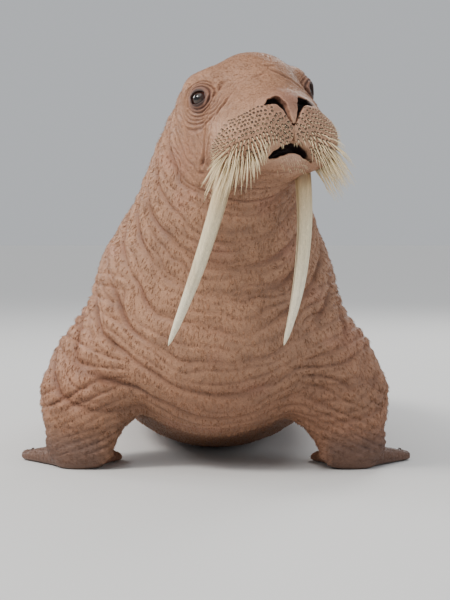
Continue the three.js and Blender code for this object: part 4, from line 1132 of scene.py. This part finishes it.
def hide_material():
    m, nt, p = shader("hide")
    tint = node(nt, "ShaderNodeAttribute", attribute_name="tint").outputs["Color"]
    nap = mapped(nt, (1.0, 0.28, 0.8))
    free = mapped(nt, (1, 1, 1))
    fine = noise_node(nt, nap, 420, 4, 0.6)
    patch = noise_node(nt, free, 26, 4, 0.6, 0.4)
    speck = noise_node(nt, free, 160, 3, 0.6)
    c = mixed(nt, "MULTIPLY", 1.0, tint, (1, 1, 1, 1))
    shade = remap(nt, fine, 0.3, 0.72, 0.80, 1.18)
    c = mixed(nt, "MULTIPLY", 1.0, tint, shade)
    shade2 = remap(nt, patch, 0.3, 0.7, 0.86, 1.12)
    c = mixed(nt, "MULTIPLY", 1.0, c, shade2)
    shade3 = remap(nt, speck, 0.35, 0.7, 0.90, 1.08)
    c = mixed(nt, "MULTIPLY", 1.0, c, shade3)
    link(nt, c, p.inputs["Base Color"])
    # cracked hide: small cells, and finer grain of short hair along the body
    vor = node(nt, "ShaderNodeTexVoronoi", feature="DISTANCE_TO_EDGE")
    vor.inputs["Scale"].default_value = 95
    link(nt, mapped(nt, (1, 0.8, 1)), vor.inputs["Vector"])
    cells = remap(nt, vor.outputs["Distance"], 0.0, 0.16, 0.0, 1.0)
    n1 = bump(nt, cells, 0.35, 0.0012)
    n2 = bump(nt, fine, 0.45, 0.0016, n1)
    n3 = bump(nt, speck, 0.35, 0.003, n2)
    link(nt, n3, p.inputs["Normal"])
    rough = remap(nt, patch, 0.25, 0.75, 0.50, 0.68)
    link(nt, rough, p.inputs["Roughness"])
    p.inputs["Specular IOR Level"].default_value = 0.4
    return m


M_HIDE = hide_material()
shift = (MIDDLE / 1000).astype(F32)
me = new_mesh("skin", SKIN / 1000 - shift, lv, starts, uv)
paint(me, "tint", COLOUR)
skin = new_object("skin", me, M_HIDE)


# ------------------------------------------------------------------ eyes
def lathe_ball(n_lat, n_lon):
    th = np.linspace(0, math.pi, n_lat + 1)[1:-1]
    ph = np.linspace(0, 2 * math.pi, n_lon, endpoint=False)
    T, F = np.meshgrid(th, ph, indexing="ij")
    dirs = np.stack([np.sin(T) * np.cos(F), np.sin(T) * np.sin(F), np.cos(T)], -1).reshape(-1, 3)
    dirs = np.concatenate([[[0, 0, 1]], dirs, [[0, 0, -1]]])
    k = lambda i, j: 1 + i * n_lon + j % n_lon
    tris, quads_ = [], []
    for j in range(n_lon):
        tris += [(0, k(0, j), k(0, j + 1)), (len(dirs) - 1, k(n_lat - 2, j + 1), k(n_lat - 2, j))]
        for i in range(n_lat - 2):
            quads_.append((k(i, j), k(i + 1, j), k(i + 1, j + 1), k(i, j + 1)))
    lv_ = np.r_[np.array(tris).ravel(), np.array(quads_).ravel()]
    st = np.r_[3 * np.arange(len(tris)), 3 * len(tris) + 4 * np.arange(len(quads_))]
    return dirs, st, lv_


def eye_material():
    m, nt, p = shader("wet_eye")
    tint = node(nt, "ShaderNodeAttribute", attribute_name="tint").outputs["Color"]
    grain = noise_node(nt, mapped(nt, (1, 1, 1)), 900, 3, 0.6)
    link(nt, mixed(nt, "MULTIPLY", 1.0, tint, remap(nt, grain, 0.3, 0.7, 0.8, 1.2)), p.inputs["Base Color"])
    p.inputs["Roughness"].default_value = 0.06
    p.inputs["Specular IOR Level"].default_value = 0.45
    p.inputs["Coat Weight"].default_value = 0.25
    return m


M_EYE = eye_material()
eyes = []
for s, label in ((-1, "right"), (1, "left")):
    dirs, st, elv = lathe_ball(40, 56)
    ang = np.arccos(np.clip(dirs[:, 2], -1, 1))
    rad_mm = EYE_RADIUS * (1 - 0.004) + 1.2 * np.exp(-(ang / 0.5) ** 2)          # the cornea stands a little proud
    frame_m = np.stack([EYE_W[s], EYE_U[s], EYE_L[s]])
    if np.linalg.det(frame_m) < 0:
        elv = elv.copy()
        parts_l = np.split(elv, st[1:])
        elv = np.concatenate([q[::-1] for q in parts_l])
    PE = EYE_AT[s] + (dirs * rad_mm[:, None]) @ frame_m
    off = ang * EYE_RADIUS
    # a dark eye: broad iris, long pupil, brown white with a red rim towards the corners
    c = np.broadcast_to(srgb(84, 48, 40), (len(dirs), 3)).copy()
    c = mix(c, srgb(44, 26, 21), smooth(24, 17, off))
    iris = smooth(17.0, 15.8, off)
    c = mix(c, srgb(40, 24, 16), iris)
    spokes = 0.5 + 0.5 * np.sin(np.arctan2(dirs[:, 1], dirs[:, 0]) * 37)
    c = mix(c, srgb(54, 34, 21), iris * smooth(15.5, 11.5, off) * (0.4 + 0.5 * spokes))
    pup = np.sqrt((dirs[:, 0] * EYE_RADIUS / 1.15) ** 2 + (dirs[:, 1] * EYE_RADIUS) ** 2)
    c = mix(c, np.array([0.002, 0.002, 0.002]), smooth(9.2, 8.2, pup) * (dirs[:, 2] > 0))
    me = new_mesh("eyeball_" + label, PE / 1000 - MIDDLE / 1000, elv, st)
    paint(me, "tint", c)
    ob = new_object("eyeball_" + label, me, M_EYE)
    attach(ob, "root")
    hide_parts("eye_" + label)
    eyes.append(ob)


# ------------------------------------------------------------------ tubes with round sections, for tusks and whiskers
def sweep(points, side, front, rs, rf, sides):
    """rings round a line of points, for tubes that tube_faces closes at both ends by a point; arrays of K lines at
    once: points (K, n, 3)
    """
    K, n, _ = points.shape
    a = 2 * math.pi * np.arange(sides) / sides
    ring = points[:, :, None] + side[:, :, None] * (rs[:, :, None, None] * np.cos(a)[None, None, :, None]) \
        + front[:, :, None] * (rf[:, :, None, None] * np.sin(a)[None, None, :, None])
    return ring                                     # (K, n, sides, 3)


def tube_faces(n, sides):
    st, lv_ = [], []
    for j in range(n - 1):
        for i in range(sides):
            a0, b0 = j * sides + i, j * sides + (i + 1) % sides
            st.append(len(lv_))
            lv_ += [a0, b0, b0 + sides, a0 + sides]
    root, tip = n * sides, n * sides + 1
    for i in range(sides):
        b0 = (i + 1) % sides
        st.append(len(lv_))
        lv_ += [root, b0, i]
        st.append(len(lv_))
        lv_ += [tip, (n - 1) * sides + i, (n - 1) * sides + b0]
    return np.array(st), np.array(lv_)


def ivory_material():
    m, nt, p = shader("ivory")
    tint = node(nt, "ShaderNodeAttribute", attribute_name="tint").outputs["Color"]
    along = noise_node(nt, mapped(nt, (1, 1, 0.06)), 210, 4, 0.6)
    fine = noise_node(nt, mapped(nt, (1, 1, 0.5)), 620, 2, 0.5)
    c = mixed(nt, "MULTIPLY", 1.0, tint, remap(nt, along, 0.3, 0.7, 0.82, 1.08))
    crack = remap(nt, maths(nt, "ABSOLUTE", maths(nt, "SUBTRACT", along, 0.5)), 0.0, 0.012, 1.0, 0.0)
    c = mixed(nt, "MIX", maths(nt, "MULTIPLY", crack, 0.55), c, (0.16, 0.09, 0.04, 1))
    link(nt, c, p.inputs["Base Color"])
    link(nt, bump(nt, fine, 0.15, 0.001, bump(nt, along, 0.4, 0.003)), p.inputs["Normal"])
    p.inputs["Roughness"].default_value = 0.34
    return m


M_IVORY = ivory_material()
for s, label in ((-1, "right"), (1, "left")):
    row = np.array(TUSKS[s], float)
    n, sides = 96, 48
    j = np.arange(n) / (n - 1)
    t = 0.9985 * (1 - (1 - j) ** 1.5)
    at = lambda t: ((1 - t) ** 2)[:, None] * row[0] + (2 * t * (1 - t))[:, None] * row[1] + (t ** 2)[:, None] * row[2]
    C = at(t)
    U = at(np.minimum(t + 0.01, 1)) - at(t - 0.01)
    U /= np.linalg.norm(U, axis=1, keepdims=True)
    side = np.cross(U, [0, -1.0, 0])
    side /= np.linalg.norm(side, axis=1, keepdims=True)
    front = np.cross(side, U)
    R0 = TUSK_RADIUS * (1 - 0.28 * t) * np.sqrt(np.maximum(1 - t ** 4, 0))
    ring = sweep(C[None], side[None], front[None], (R0 * 0.94)[None], (R0 * 1.08)[None], sides)[0]
    # long shallow grooves, one broad one down the outer side, and small knocks near the tip
    ang = 2 * math.pi * np.arange(sides) / sides
    outer = 0.0 if s > 0 else math.pi
    flat = ring.reshape(-1, 3)
    a_all = np.tile(ang, n)
    t_all = np.repeat(t, sides)
    twist = 0.25 * np.sin(3 * t_all + s)
    groove = -1.6 * np.exp(-((np.angle(np.exp(1j * (a_all - outer - 0.35 * s - twist)))) / 0.16) ** 2)
    groove += -0.8 * np.exp(-((np.angle(np.exp(1j * (a_all - outer + 1.9 * s - twist)))) / 0.13) ** 2)
    groove += 0.35 * np.sin(a_all * 9 + 2 * np.sin(4 * t_all)) * smooth(0.95, 0.6, t_all)
    rough_t = 0.9 * rough_noise(flat, (40, 40, 160), 61 + s) + 0.5 * noise(flat, 22, 63 + s) * smooth(0.6, 1.0, t_all)
    outward = (flat - np.repeat(C, sides, 0)) / np.maximum(np.repeat(R0, sides)[:, None], 1)
    move = (groove * smooth(0.98, 0.8, t_all) - 0.8 + rough_t) * smooth(0, 3, np.repeat(R0, sides))
    flat = flat + outward * move[:, None]
    V3 = np.concatenate([flat, [row[0] - 0.2 * (row[1] - row[0]) / np.linalg.norm(row[1] - row[0])], [row[2]]])
    st, tlv = tube_faces(n, sides)
    # ivory, browner at the root and along the groove, rubbed bright towards the tip
    tt = np.r_[t_all, 0, 1]
    gr = np.r_[np.clip(-groove / 1.6, 0, 1), 0, 0]
    nn = rough_noise(V3, (60, 60, 200), 71 + s)
    c = np.broadcast_to(srgb(226, 210, 174), (len(V3), 3)).copy()
    c = mix(c, srgb(240, 230, 204), smooth(0.35, 0.8, tt) * 0.8)
    c = mix(c, srgb(188, 156, 108), smooth(0.42, 0.12, tt) * 0.75)
    c = mix(c, srgb(120, 84, 52), smooth(0.20, 0.10, tt + 0.02 * nn) * 0.8)
    c = mix(c, srgb(176, 146, 104), smooth(0.1, 0.7, nn) * 0.5)
    c = mix(c, srgb(110, 80, 50), gr * 0.65)
    me = new_mesh("tusk_ivory_" + label, V3 / 1000 - MIDDLE / 1000, tlv, st)
    paint(me, "tint", c)
    ob = new_object("tusk_ivory_" + label, me, M_IVORY)
    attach(ob, "root")
    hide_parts("tusk_" + label)


# ------------------------------------------------------------------ whiskers
def horn_material():
    m, nt, p = shader("horn")
    tint = node(nt, "ShaderNodeAttribute", attribute_name="tint").outputs["Color"]
    grain = noise_node(nt, mapped(nt, (1, 1, 1)), 700, 2, 0.5)
    link(nt, mixed(nt, "MULTIPLY", 1.0, tint, remap(nt, grain, 0.3, 0.7, 0.85, 1.12)), p.inputs["Base Color"])
    p.inputs["Roughness"].default_value = 0.32
    return m


M_HORN = horn_material()


def bristles(name, P, D, B, length, r0, colour, n=6, sides=6):
    """many tapered bristles: from P along D, bending towards B"""
    K = len(P)
    t = np.linspace(0, 1, n)[None, :, None]
    line = P[:, None] + (D[:, None] * t + B[:, None] * t * t) * length[:, None, None]
    U = D[:, None] + 2 * B[:, None] * t
    U /= np.linalg.norm(U, axis=2, keepdims=True)
    ref = np.array([0.3, 0.2, 1.0])
    side = np.cross(U, ref)
    side /= np.linalg.norm(side, axis=2, keepdims=True)
    front = np.cross(side, U)
    r = r0[:, None] * (1 - 0.86 * np.linspace(0, 1, n)[None] ** 1.3)
    ring = sweep(line, side, front, r, r, sides).reshape(K, n * sides, 3)
    U0, U1 = U[:, 0], U[:, -1]
    V4 = np.concatenate([ring, (line[:, 0] - U0 * r[:, :1] * 0.5)[:, None], (line[:, -1] + U1 * r[:, -1:] * 1.2)[:, None]], 1)
    st, blv = tube_faces(n, sides)
    m_ = n * sides + 2
    ST = (st[None] + len(blv) * np.arange(K)[:, None]).ravel()
    LV = (blv[None] + m_ * np.arange(K)[:, None]).ravel()
    me = new_mesh(name, V4.reshape(-1, 3) / 1000 - MIDDLE / 1000, LV, ST)
    tt = np.r_[np.repeat(np.linspace(0, 1, n), sides), 0, 1]
    shade = (0.62 + 0.5 * smooth(0.0, 0.35, tt))[None, :, None]
    paint(me, "tint", np.clip(colour[:, None, :] * shade, 0, 1).reshape(-1, 3))
    return new_object(name, me, M_HORN)


rng = np.random.default_rng(5)
s_, row_, t_, down = roots_info[:, 0], roots_info[:, 1], roots_info[:, 2], roots_info[:, 3]
K = len(roots_at)
hd = lambda v: (v * FLIP) @ RH.T                    # a direction of the head, in the world
nh = ((roots_n @ RH) * FLIP)
jit = rng.normal(0, 1, (K, 3))
low = smooth(0.55, 1.05, down)
D = nh * (0.9 - 0.25 * low)[:, None] + np.c_[s_ * (0.06 + 0.28 * t_), np.full(K, 0.12), -0.25 - 0.35 * low] + 0.06 * jit
D /= np.linalg.norm(D, axis=1, keepdims=True)
B = np.c_[s_ * (0.02 + 0.14 * t_), -0.06 - 0.08 * low, -0.14 - 0.28 * low] + 0.035 * rng.normal(0, 1, (K, 3))
length = (5 + 6 * smooth(0, 0.6, down) + (36 + 27 * t_) * smooth(0.6, 1.0, down)) * rng.uniform(0.72, 1.18, K)
length = np.where(down > 1.3, length * 0.85, length)
length = np.where(down > 0.55, length * (0.16 + 0.84 * smooth(0.06, 0.46, t_)), length)
thick = (0.85 + 0.85 * smooth(0.3, 1.0, down)) * rng.uniform(0.85, 1.15, K)
colour = srgb(226, 206, 166) * rng.uniform(0.75, 1.08, (K, 1))
start = roots_at - roots_n * 3.0
wh = bristles("whiskers", start, hd(D), hd(B), length + 3, thick, colour)
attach(wh, "root")
said("whiskers")

# short bristles on the chin and over the lip
chin = []
for x in np.arange(-26, 66, 8.0):
    for z in (-232, -243, -254):
        chin.append((x + rng.uniform(-2, 2), 190, z + rng.uniform(-3, 3)))
PC = np.array([H(*p) for p in chin])
DC = np.broadcast_to(HD(0, -1, 0), PC.shape)
t = np.zeros(len(PC))
for _ in range(60):
    v = field(PC + DC * t[:, None])
    t += np.clip(v, -5, 6) * 0.8
PC = PC + DC * t[:, None]
ok = (np.abs(field(PC)) < 1) & (t < 100)
PC = PC[ok]
NC = slope(PC.astype(F32), field(PC)).astype(float)
NC /= np.linalg.norm(NC, axis=1, keepdims=True)
K = len(PC)
DC = NC * 0.8 + HD(0, 0, -1) * 0.6 + 0.1 * rng.normal(0, 1, (K, 3))
DC /= np.linalg.norm(DC, axis=1, keepdims=True)
ch = bristles("chin_bristles", PC - NC * 2, DC, np.broadcast_to(HD(0, -0.1, -0.2), (K, 3)), rng.uniform(9, 17, K), rng.uniform(0.6, 0.8, K), srgb(226, 206, 166) * rng.uniform(0.8, 1.05, (K, 1)), 4, 5)
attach(ch, "root")

# ------------------------------------------------------------------ nails, on the upper side of each digit
def nails(name, places):
    """places: base, direction, distance from the base, length, width, thickness"""
    VV, SS, LL, TT = [], [], [], []
    n, sides = 12, 14
    st, blv = tube_faces(n, sides)
    for base, d, far, size, wide_, thick_ in places:
        p = base + d * far
        z = np.arange(120.0, 4.0, -0.5)
        col = np.repeat(p[None], len(z), 0)
        col[:, 2] = z
        inside = np.where(field(col) < 0)[0]
        top = col[inside[0]] if len(inside) else p
        nv = slope(top[None].astype(F32), field(top[None]))[0].astype(float)
        nv /= np.linalg.norm(nv)
        u = d - nv * (d @ nv)
        u /= np.linalg.norm(u)
        side_ = np.cross(nv, u)
        t = np.linspace(0, 1, n)
        line = top + u[None] * ((t - 0.25) * size)[:, None] + nv[None] * (thick_ * (0.22 + 0.9 * t - 1.45 * t * t))[:, None]
        prof = np.sqrt(np.clip(1 - (np.clip(t - 0.35, 0, 1) / 0.67) ** 2, 0.004, 1)) * smooth(-0.15, 0.25, t)
        U = np.repeat(u[None], n, 0)
        ring = sweep(line[None], np.repeat(side_[None], n, 0)[None], np.repeat(nv[None], n, 0)[None],
                     (wide_ / 2 * prof)[None], (thick_ / 2 * prof ** 0.8)[None], sides)[0].reshape(-1, 3)
        V5 = np.concatenate([ring, [line[0] - u * 0.8], [line[-1] + u * 0.8]])
        k = sum(len(v) for v in VV)
        SS.append(st + sum(len(v) for v in LL))
        LL.append(blv + k)
        VV.append(V5)
        TT.append(np.r_[np.repeat(t, sides), 0, 1])
    V5, t = np.concatenate(VV), np.concatenate(TT)
    me = new_mesh(name, V5 / 1000 - MIDDLE / 1000, np.concatenate(LL), np.concatenate(SS))
    c = np.broadcast_to(srgb(84, 68, 58), (len(V5), 3)).copy()
    c = mix(c, srgb(158, 140, 114), smooth(0.35, 1.0, t) * 0.85)
    paint(me, "tint", c)
    ob = new_object(name, me, M_HORN)
    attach(ob, "root")
    return ob


for s, label in ((-1, "right"), (1, "left")):
    d = lambda a: np.array([s * math.cos(math.radians(a)), math.sin(math.radians(a)), 0])
    nails("nails_fore_" + label, [(WRIST[s], d(a), L - 46, 12, 9, 4.5) for a, L in FORE_DIGITS])
    nails("nails_hind_" + label, [(HEEL[s], d(a), L - (66 if i in (1, 2, 3) else 84), 30 if i in (1, 2, 3) else 12, 11 if i in (1, 2, 3) else 8, 8 if i in (1, 2, 3) else 4)
                                  for i, (a, L) in enumerate(HIND_DIGITS)])
said("nails")


# ------------------------------------------------------------------ coat: short thin tufts that lie along the body
def coat_material():
    m, nt, p = shader("coat")
    tint = node(nt, "ShaderNodeAttribute", attribute_name="tint").outputs["Color"]
    grain = noise_node(nt, mapped(nt, (1, 0.4, 1)), 800, 2, 0.5)
    link(nt, mixed(nt, "MULTIPLY", 1.0, tint, remap(nt, grain, 0.3, 0.7, 0.84, 1.16)), p.inputs["Base Color"])
    p.inputs["Roughness"].default_value = 0.75
    p.inputs["Specular IOR Level"].default_value = 0.2
    return m


M_COAT = coat_material()


def coat(total):
    rng = np.random.default_rng(77)
    counts = np.diff(np.r_[starts, len(lv)])
    f_ids, l0, l1, l2 = [], [], [], []
    for k in range(1, counts.max() - 1):
        m = np.where(counts > k + 1)[0]
        l0.append(starts[m])
        l1.append(starts[m] + k)
        l2.append(starts[m] + k + 1)
    l0, l1, l2 = np.concatenate(l0), np.concatenate(l1), np.concatenate(l2)
    a, b, c = SKIN[lv[l0]], SKIN[lv[l1]], SKIN[lv[l2]]
    area = 0.5 * np.linalg.norm(np.cross(b - a, c - a), axis=1)
    mid_ = (a + b + c) / 3
    h = to_head(mid_)
    face = on_face[lv[l0]]
    # thinner on a bull's neck and shoulders, thick on back, flanks and crown; none on soles, nose, lips and lids
    dens = np.full(len(mid_), 1.0)
    dens = np.where(mid_[:, 1] < 330, 0.75, dens)
    dens = np.where(face > 0.5, 3.4, dens)
    low = np.where(mid_[:, 1] < 500, smooth(150, 60, mid_[:, 2]) * smooth(300, 360, np.abs(mid_[:, 0])), smooth(1990, 2110, mid_[:, 1]) * smooth(190, 110, mid_[:, 2]))
    dens = dens * (1 + 0.8 * low)
    dens *= np.clip(1.0 + 0.55 * rough_noise(mid_, 260, 91), 0.3, 1.7)
    dens *= smooth(4, 22, mid_[:, 2])
    for s in (-1, 1):
        dens = np.where(np.linalg.norm(mid_ - EYE_AT[s], axis=1) < 44, 0, dens)
        far, _ = near_line(h, [p[:3] for p in NOSTRILS[s]])
        dens = np.where(far < 22, 0, dens)
        row = np.array(TUSKS[s], float)
        far, _ = near_line(mid_, [row[0], row[0] + 0.2 * (row[1] - row[0])])
        dens = np.where(far < TUSK_RADIUS + 6, 0, dens)
    far, _ = near_line(h, [p[:3] for p in MOUTH])
    dens = np.where(far < 27, 0, dens)
    cum = np.cumsum(area * dens)
    pick = np.searchsorted(cum, np.sort(rng.uniform(0, cum[-1], total)))
    u, v = rng.uniform(0, 1, (2, total))
    fold_ = u + v > 1
    u[fold_], v[fold_] = 1 - u[fold_], 1 - v[fold_]
    w = np.stack([1 - u - v, u, v], 1)
    corners = np.stack([l0[pick], l1[pick], l2[pick]], 1)
    P = (SKIN[lv[corners]] * w[..., None]).sum(1)
    Nn = (N1[lv[corners]] * w[..., None]).sum(1)
    Nn /= np.linalg.norm(Nn, axis=1, keepdims=True)
    UVr = (uv[corners] * w[..., None]).sum(1)
    C = (COLOUR[lv[corners]] * w[..., None]).sum(1)
    crease_ = (crease[lv[corners]] * w).sum(1)
    face = (on_face[lv[corners]] * w).sum(1)
    keep = crease_ < 0.75
    P, Nn, UVr, C, face, crease_ = P[keep], Nn[keep], UVr[keep], C[keep], face[keep], crease_[keep]
    K = len(P)
    h = to_head(P)
    low = np.where(P[:, 1] < 500, smooth(150, 60, P[:, 2]) * smooth(300, 360, np.abs(P[:, 0])), smooth(1990, 2110, P[:, 1]) * smooth(190, 110, P[:, 2]))
    # the lie of the coat
    body_dir = np.tile([0.0, 1.0, -0.22], (K, 1))
    neck_w = smooth(420, 120, P[:, 1])[:, None]
    D = body_dir * (1 - neck_w) + (-NECK_U * 0.85 + np.array([0, 0.30, -0.25])) * neck_w
    arm_w = (smooth(255, 330, np.abs(P[:, 0])) * smooth(560, 420, P[:, 2]) * smooth(330, 200, P[:, 1]))[:, None]
    D = D * (1 - arm_w) + np.array([0, 0.2, -1.0]) * arm_w
    for s in (-1, 1):
        for base, m in ((WRIST[s], (P[:, 1] < 500)), (HEEL[s], (P[:, 1] > 1900))):
            m = m & (P[:, 0] * s > 0) & (low > 0.2)
            r = P[m] - base
            r[:, 2] = 0
            D[m] = r / np.maximum(np.linalg.norm(r, axis=1, keepdims=True), 1)
    hd_ = np.c_[0.35 * np.sign(h[:, 0]), -np.ones(K), -0.25 - 0.5 * smooth(-40, -150, h[:, 2])]
    pads_ = smooth(60, 120, h[:, 1]) * smooth(-86, -120, h[:, 2])
    hd_ = hd_ * (1 - pads_[:, None]) + np.c_[0.5 * np.sign(h[:, 0]), -0.3 * np.ones(K), -np.ones(K)] * pads_[:, None]
    D = D * (1 - face[:, None]) + (hd_ * FLIP) @ RH.T * face[:, None]
    swirl = rough_noise(P, 160, 95)
    D = D + np.cross(Nn, D) * (0.35 * swirl + rng.normal(0, 0.16, K))[:, None]
    D -= Nn * (D * Nn).sum(1, keepdims=True)
    D /= np.maximum(np.linalg.norm(D, axis=1, keepdims=True), 1e-6)
    S = np.cross(D, Nn)
    size = rng.uniform(0.75, 1.3, K)
    L = (15 * (1 - face) * (1 - 0.4 * low) + 6.5 * face) * size
    L = L * (1 - 0.35 * pads_ * face)
    W = (2.4 * (1 - face) * (1 - 0.3 * low) + 1.1 * face) * rng.uniform(0.8, 1.2, K)
    T = W * 0.24
    rise = (1.25 * (1 - face) * (1 - 0.4 * low) + 0.6 * face) * rng.uniform(0.5, 1.3, K)
    rise = np.where(rng.uniform(0, 1, K) < 0.08, rise * 1.8, rise)
    R0 = P - Nn * (0.5 + 0.25 * W)[:, None]
    M0 = P + D * (0.5 * L)[:, None] + Nn * (rise * 0.85)[:, None] + S * (rng.normal(0, 0.05, K) * L)[:, None]
    E0 = P + D * L[:, None] + Nn * rise[:, None] * rng.uniform(0.5, 1.25, (K, 1)) + S * (rng.normal(0, 0.11, K) * L)[:, None]
    half = (S * W[:, None] / 2)
    top = Nn * T[:, None]
    V6 = np.stack([R0 + half, R0 + top * 1.2, R0 - half, M0 + half * 0.8, M0 + top, M0 - half * 0.8, E0], 1)
    V6[..., 2] = np.maximum(V6[..., 2], 1.2)
    # faces: three long quads, the root's cap, three to the tip
    quad = [(0, 1, 4, 3), (1, 2, 5, 4), (2, 0, 3, 5)]
    tri = [(0, 2, 1), (3, 4, 6), (4, 5, 6), (5, 3, 6)]
    lv1 = np.array([i for q in quad for i in q] + [i for q in tri for i in q])
    st1 = np.array([0, 4, 8, 12, 15, 18, 21])
    ring_v = lambda i: i / 3
    uv1 = []
    for i in range(3):
        uv1 += [(0.25, ring_v(i)), (0.25, ring_v(i + 1)), (0.62, ring_v(i + 1)), (0.62, ring_v(i))]
    uv1 += [(0.0, 0.1), (0.0, 0.9), (0.22, 0.5)]
    for i in range(3):
        uv1 += [(0.62, ring_v(i)), (0.62, ring_v(i + 1)), (1.0, ring_v(i + 0.5))]
    uv1 = (np.array(uv1) - 0.5) * 0.003
    # outward faces whatever the handedness
    tetra = np.einsum("ij,ij->i", np.cross(V6[:200, 1] - V6[:200, 0], V6[:200, 3] - V6[:200, 0]), (V6[:200, 0] + V6[:200, 1]) / 2 - V6[:200, :3].mean(1))
    flip = np.median(tetra) < 0
    bright = rng.uniform(0.88, 1.14, K)
    C = np.clip(C * bright[:, None], 0, 1)
    tips = np.clip(C * 1.14 + np.array([0.012, 0.008, 0.005]), 0, 1)
    # the root's ring a little darker: painted shade where the tuft meets the skin; the tips paler
    col = np.stack([C * 0.95] * 3 + [C] * 3 + [tips], 1)
    # pieces, each from one stretch of the body
    zone = np.where(face > 0.5, -1e6, P[:, 1] + 0.001 * P[:, 0])
    order = np.argsort(zone, kind="stable")
    n_piece = int(math.ceil(K / 19000))
    made = []
    for i, part in enumerate(np.array_split(order, n_piece)):
        k = len(part)
        lv2 = lv1[None] + 7 * np.arange(k)[:, None]
        uv2 = uv1[None] + UVr[part][:, None]
        if flip:
            back = np.concatenate([np.arange(a0, b0)[::-1] for a0, b0 in zip(st1, np.r_[st1[1:], 24])])
            lv2, uv2 = lv2[:, back], uv2[:, back]
        st2 = st1[None] + 24 * np.arange(k)[:, None]
        me = new_mesh("coat_%d" % i, V6[part].reshape(-1, 3) / 1000 - MIDDLE / 1000, lv2.ravel(), st2.ravel(), uv2.reshape(-1, 2))
        paint(me, "tint", col[part].reshape(-1, 3))
        ob = new_object("coat_%d" % i, me, M_COAT)
        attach(ob, "root")
        made.append(ob)
    return made, K


made, K = coat(104000)
said("coat: %d tufts in %d pieces" % (K, len(made)))


# ------------------------------------------------------------------ the skin stands for all the solids of flesh
FLESH = ["head", "neck", "chest", "trunk", "rump", "tail", "fore_flipper_right", "fore_flipper_left", "hind_flipper_right",
         "hind_flipper_left", "lower_jaw", "nose", "whisker_pad_right", "whisker_pad_left"]
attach(skin, "root")
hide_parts(*FLESH)

# ------------------------------------------------------------------ ground and light
me = bpy.data.meshes.new("ground")
me.from_pydata([(-60, -60, 0), (60, -60, 0), (60, 60, 0), (-60, 60, 0)], [], [(0, 1, 2, 3)])
floor = bpy.data.objects.new("ground", me)
bpy.context.scene.collection.objects.link(floor)
m, nt, p = shader("ground")
p.inputs["Base Color"].default_value = (0.62, 0.62, 0.613, 1)
p.inputs["Roughness"].default_value = 0.75
me.materials.append(m)

world = bpy.data.worlds.new("studio")
world.use_nodes = True
world.node_tree.nodes["Background"].inputs[0].default_value = (0.86, 0.89, 0.93, 1)
world.node_tree.nodes["Background"].inputs[1].default_value = 0.62
bpy.context.scene.world = world


def lamp(name, at, aim, size, power, tint=(1, 1, 1)):
    data = bpy.data.lights.new(name, "AREA")
    data.shape, data.size, data.energy, data.color = "DISK", size, power, tint
    ob = bpy.data.objects.new(name, data)
    ob.location = at
    x, y, z = [b - a for a, b in zip(at, aim)]
    ob.rotation_euler = (math.atan2(math.hypot(x, y), -z), 0, math.atan2(-x, y))
    bpy.context.scene.collection.objects.link(ob)


lamp("key", (-3.9, -3.9, 4.8), (0, -0.9, 0.6), 1.7, 370, (1, 0.96, 0.9))
lamp("fill", (4.8, -3.4, 2.4), (0, -0.6, 0.6), 3.0, 60, (0.92, 0.96, 1))
lamp("back", (2.5, 5.5, 5.0), (0, 0.3, 0.5), 3.0, 240, (1, 0.98, 0.95))
lamp("side", (-5.5, 2.5, 3.5), (0, 0.3, 0.5), 2.5, 140)
# one wide soft light from high on the left, so that the ground is evenly lit
data = bpy.data.lights.new("sky", "SUN")
data.energy, data.angle, data.color = 1.4, 1.0, (1, 0.98, 0.96)
ob = bpy.data.objects.new("sky", data)
ob.rotation_euler = (math.radians(28), math.radians(-26), 0)
bpy.context.scene.collection.objects.link(ob)

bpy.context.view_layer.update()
said("done")
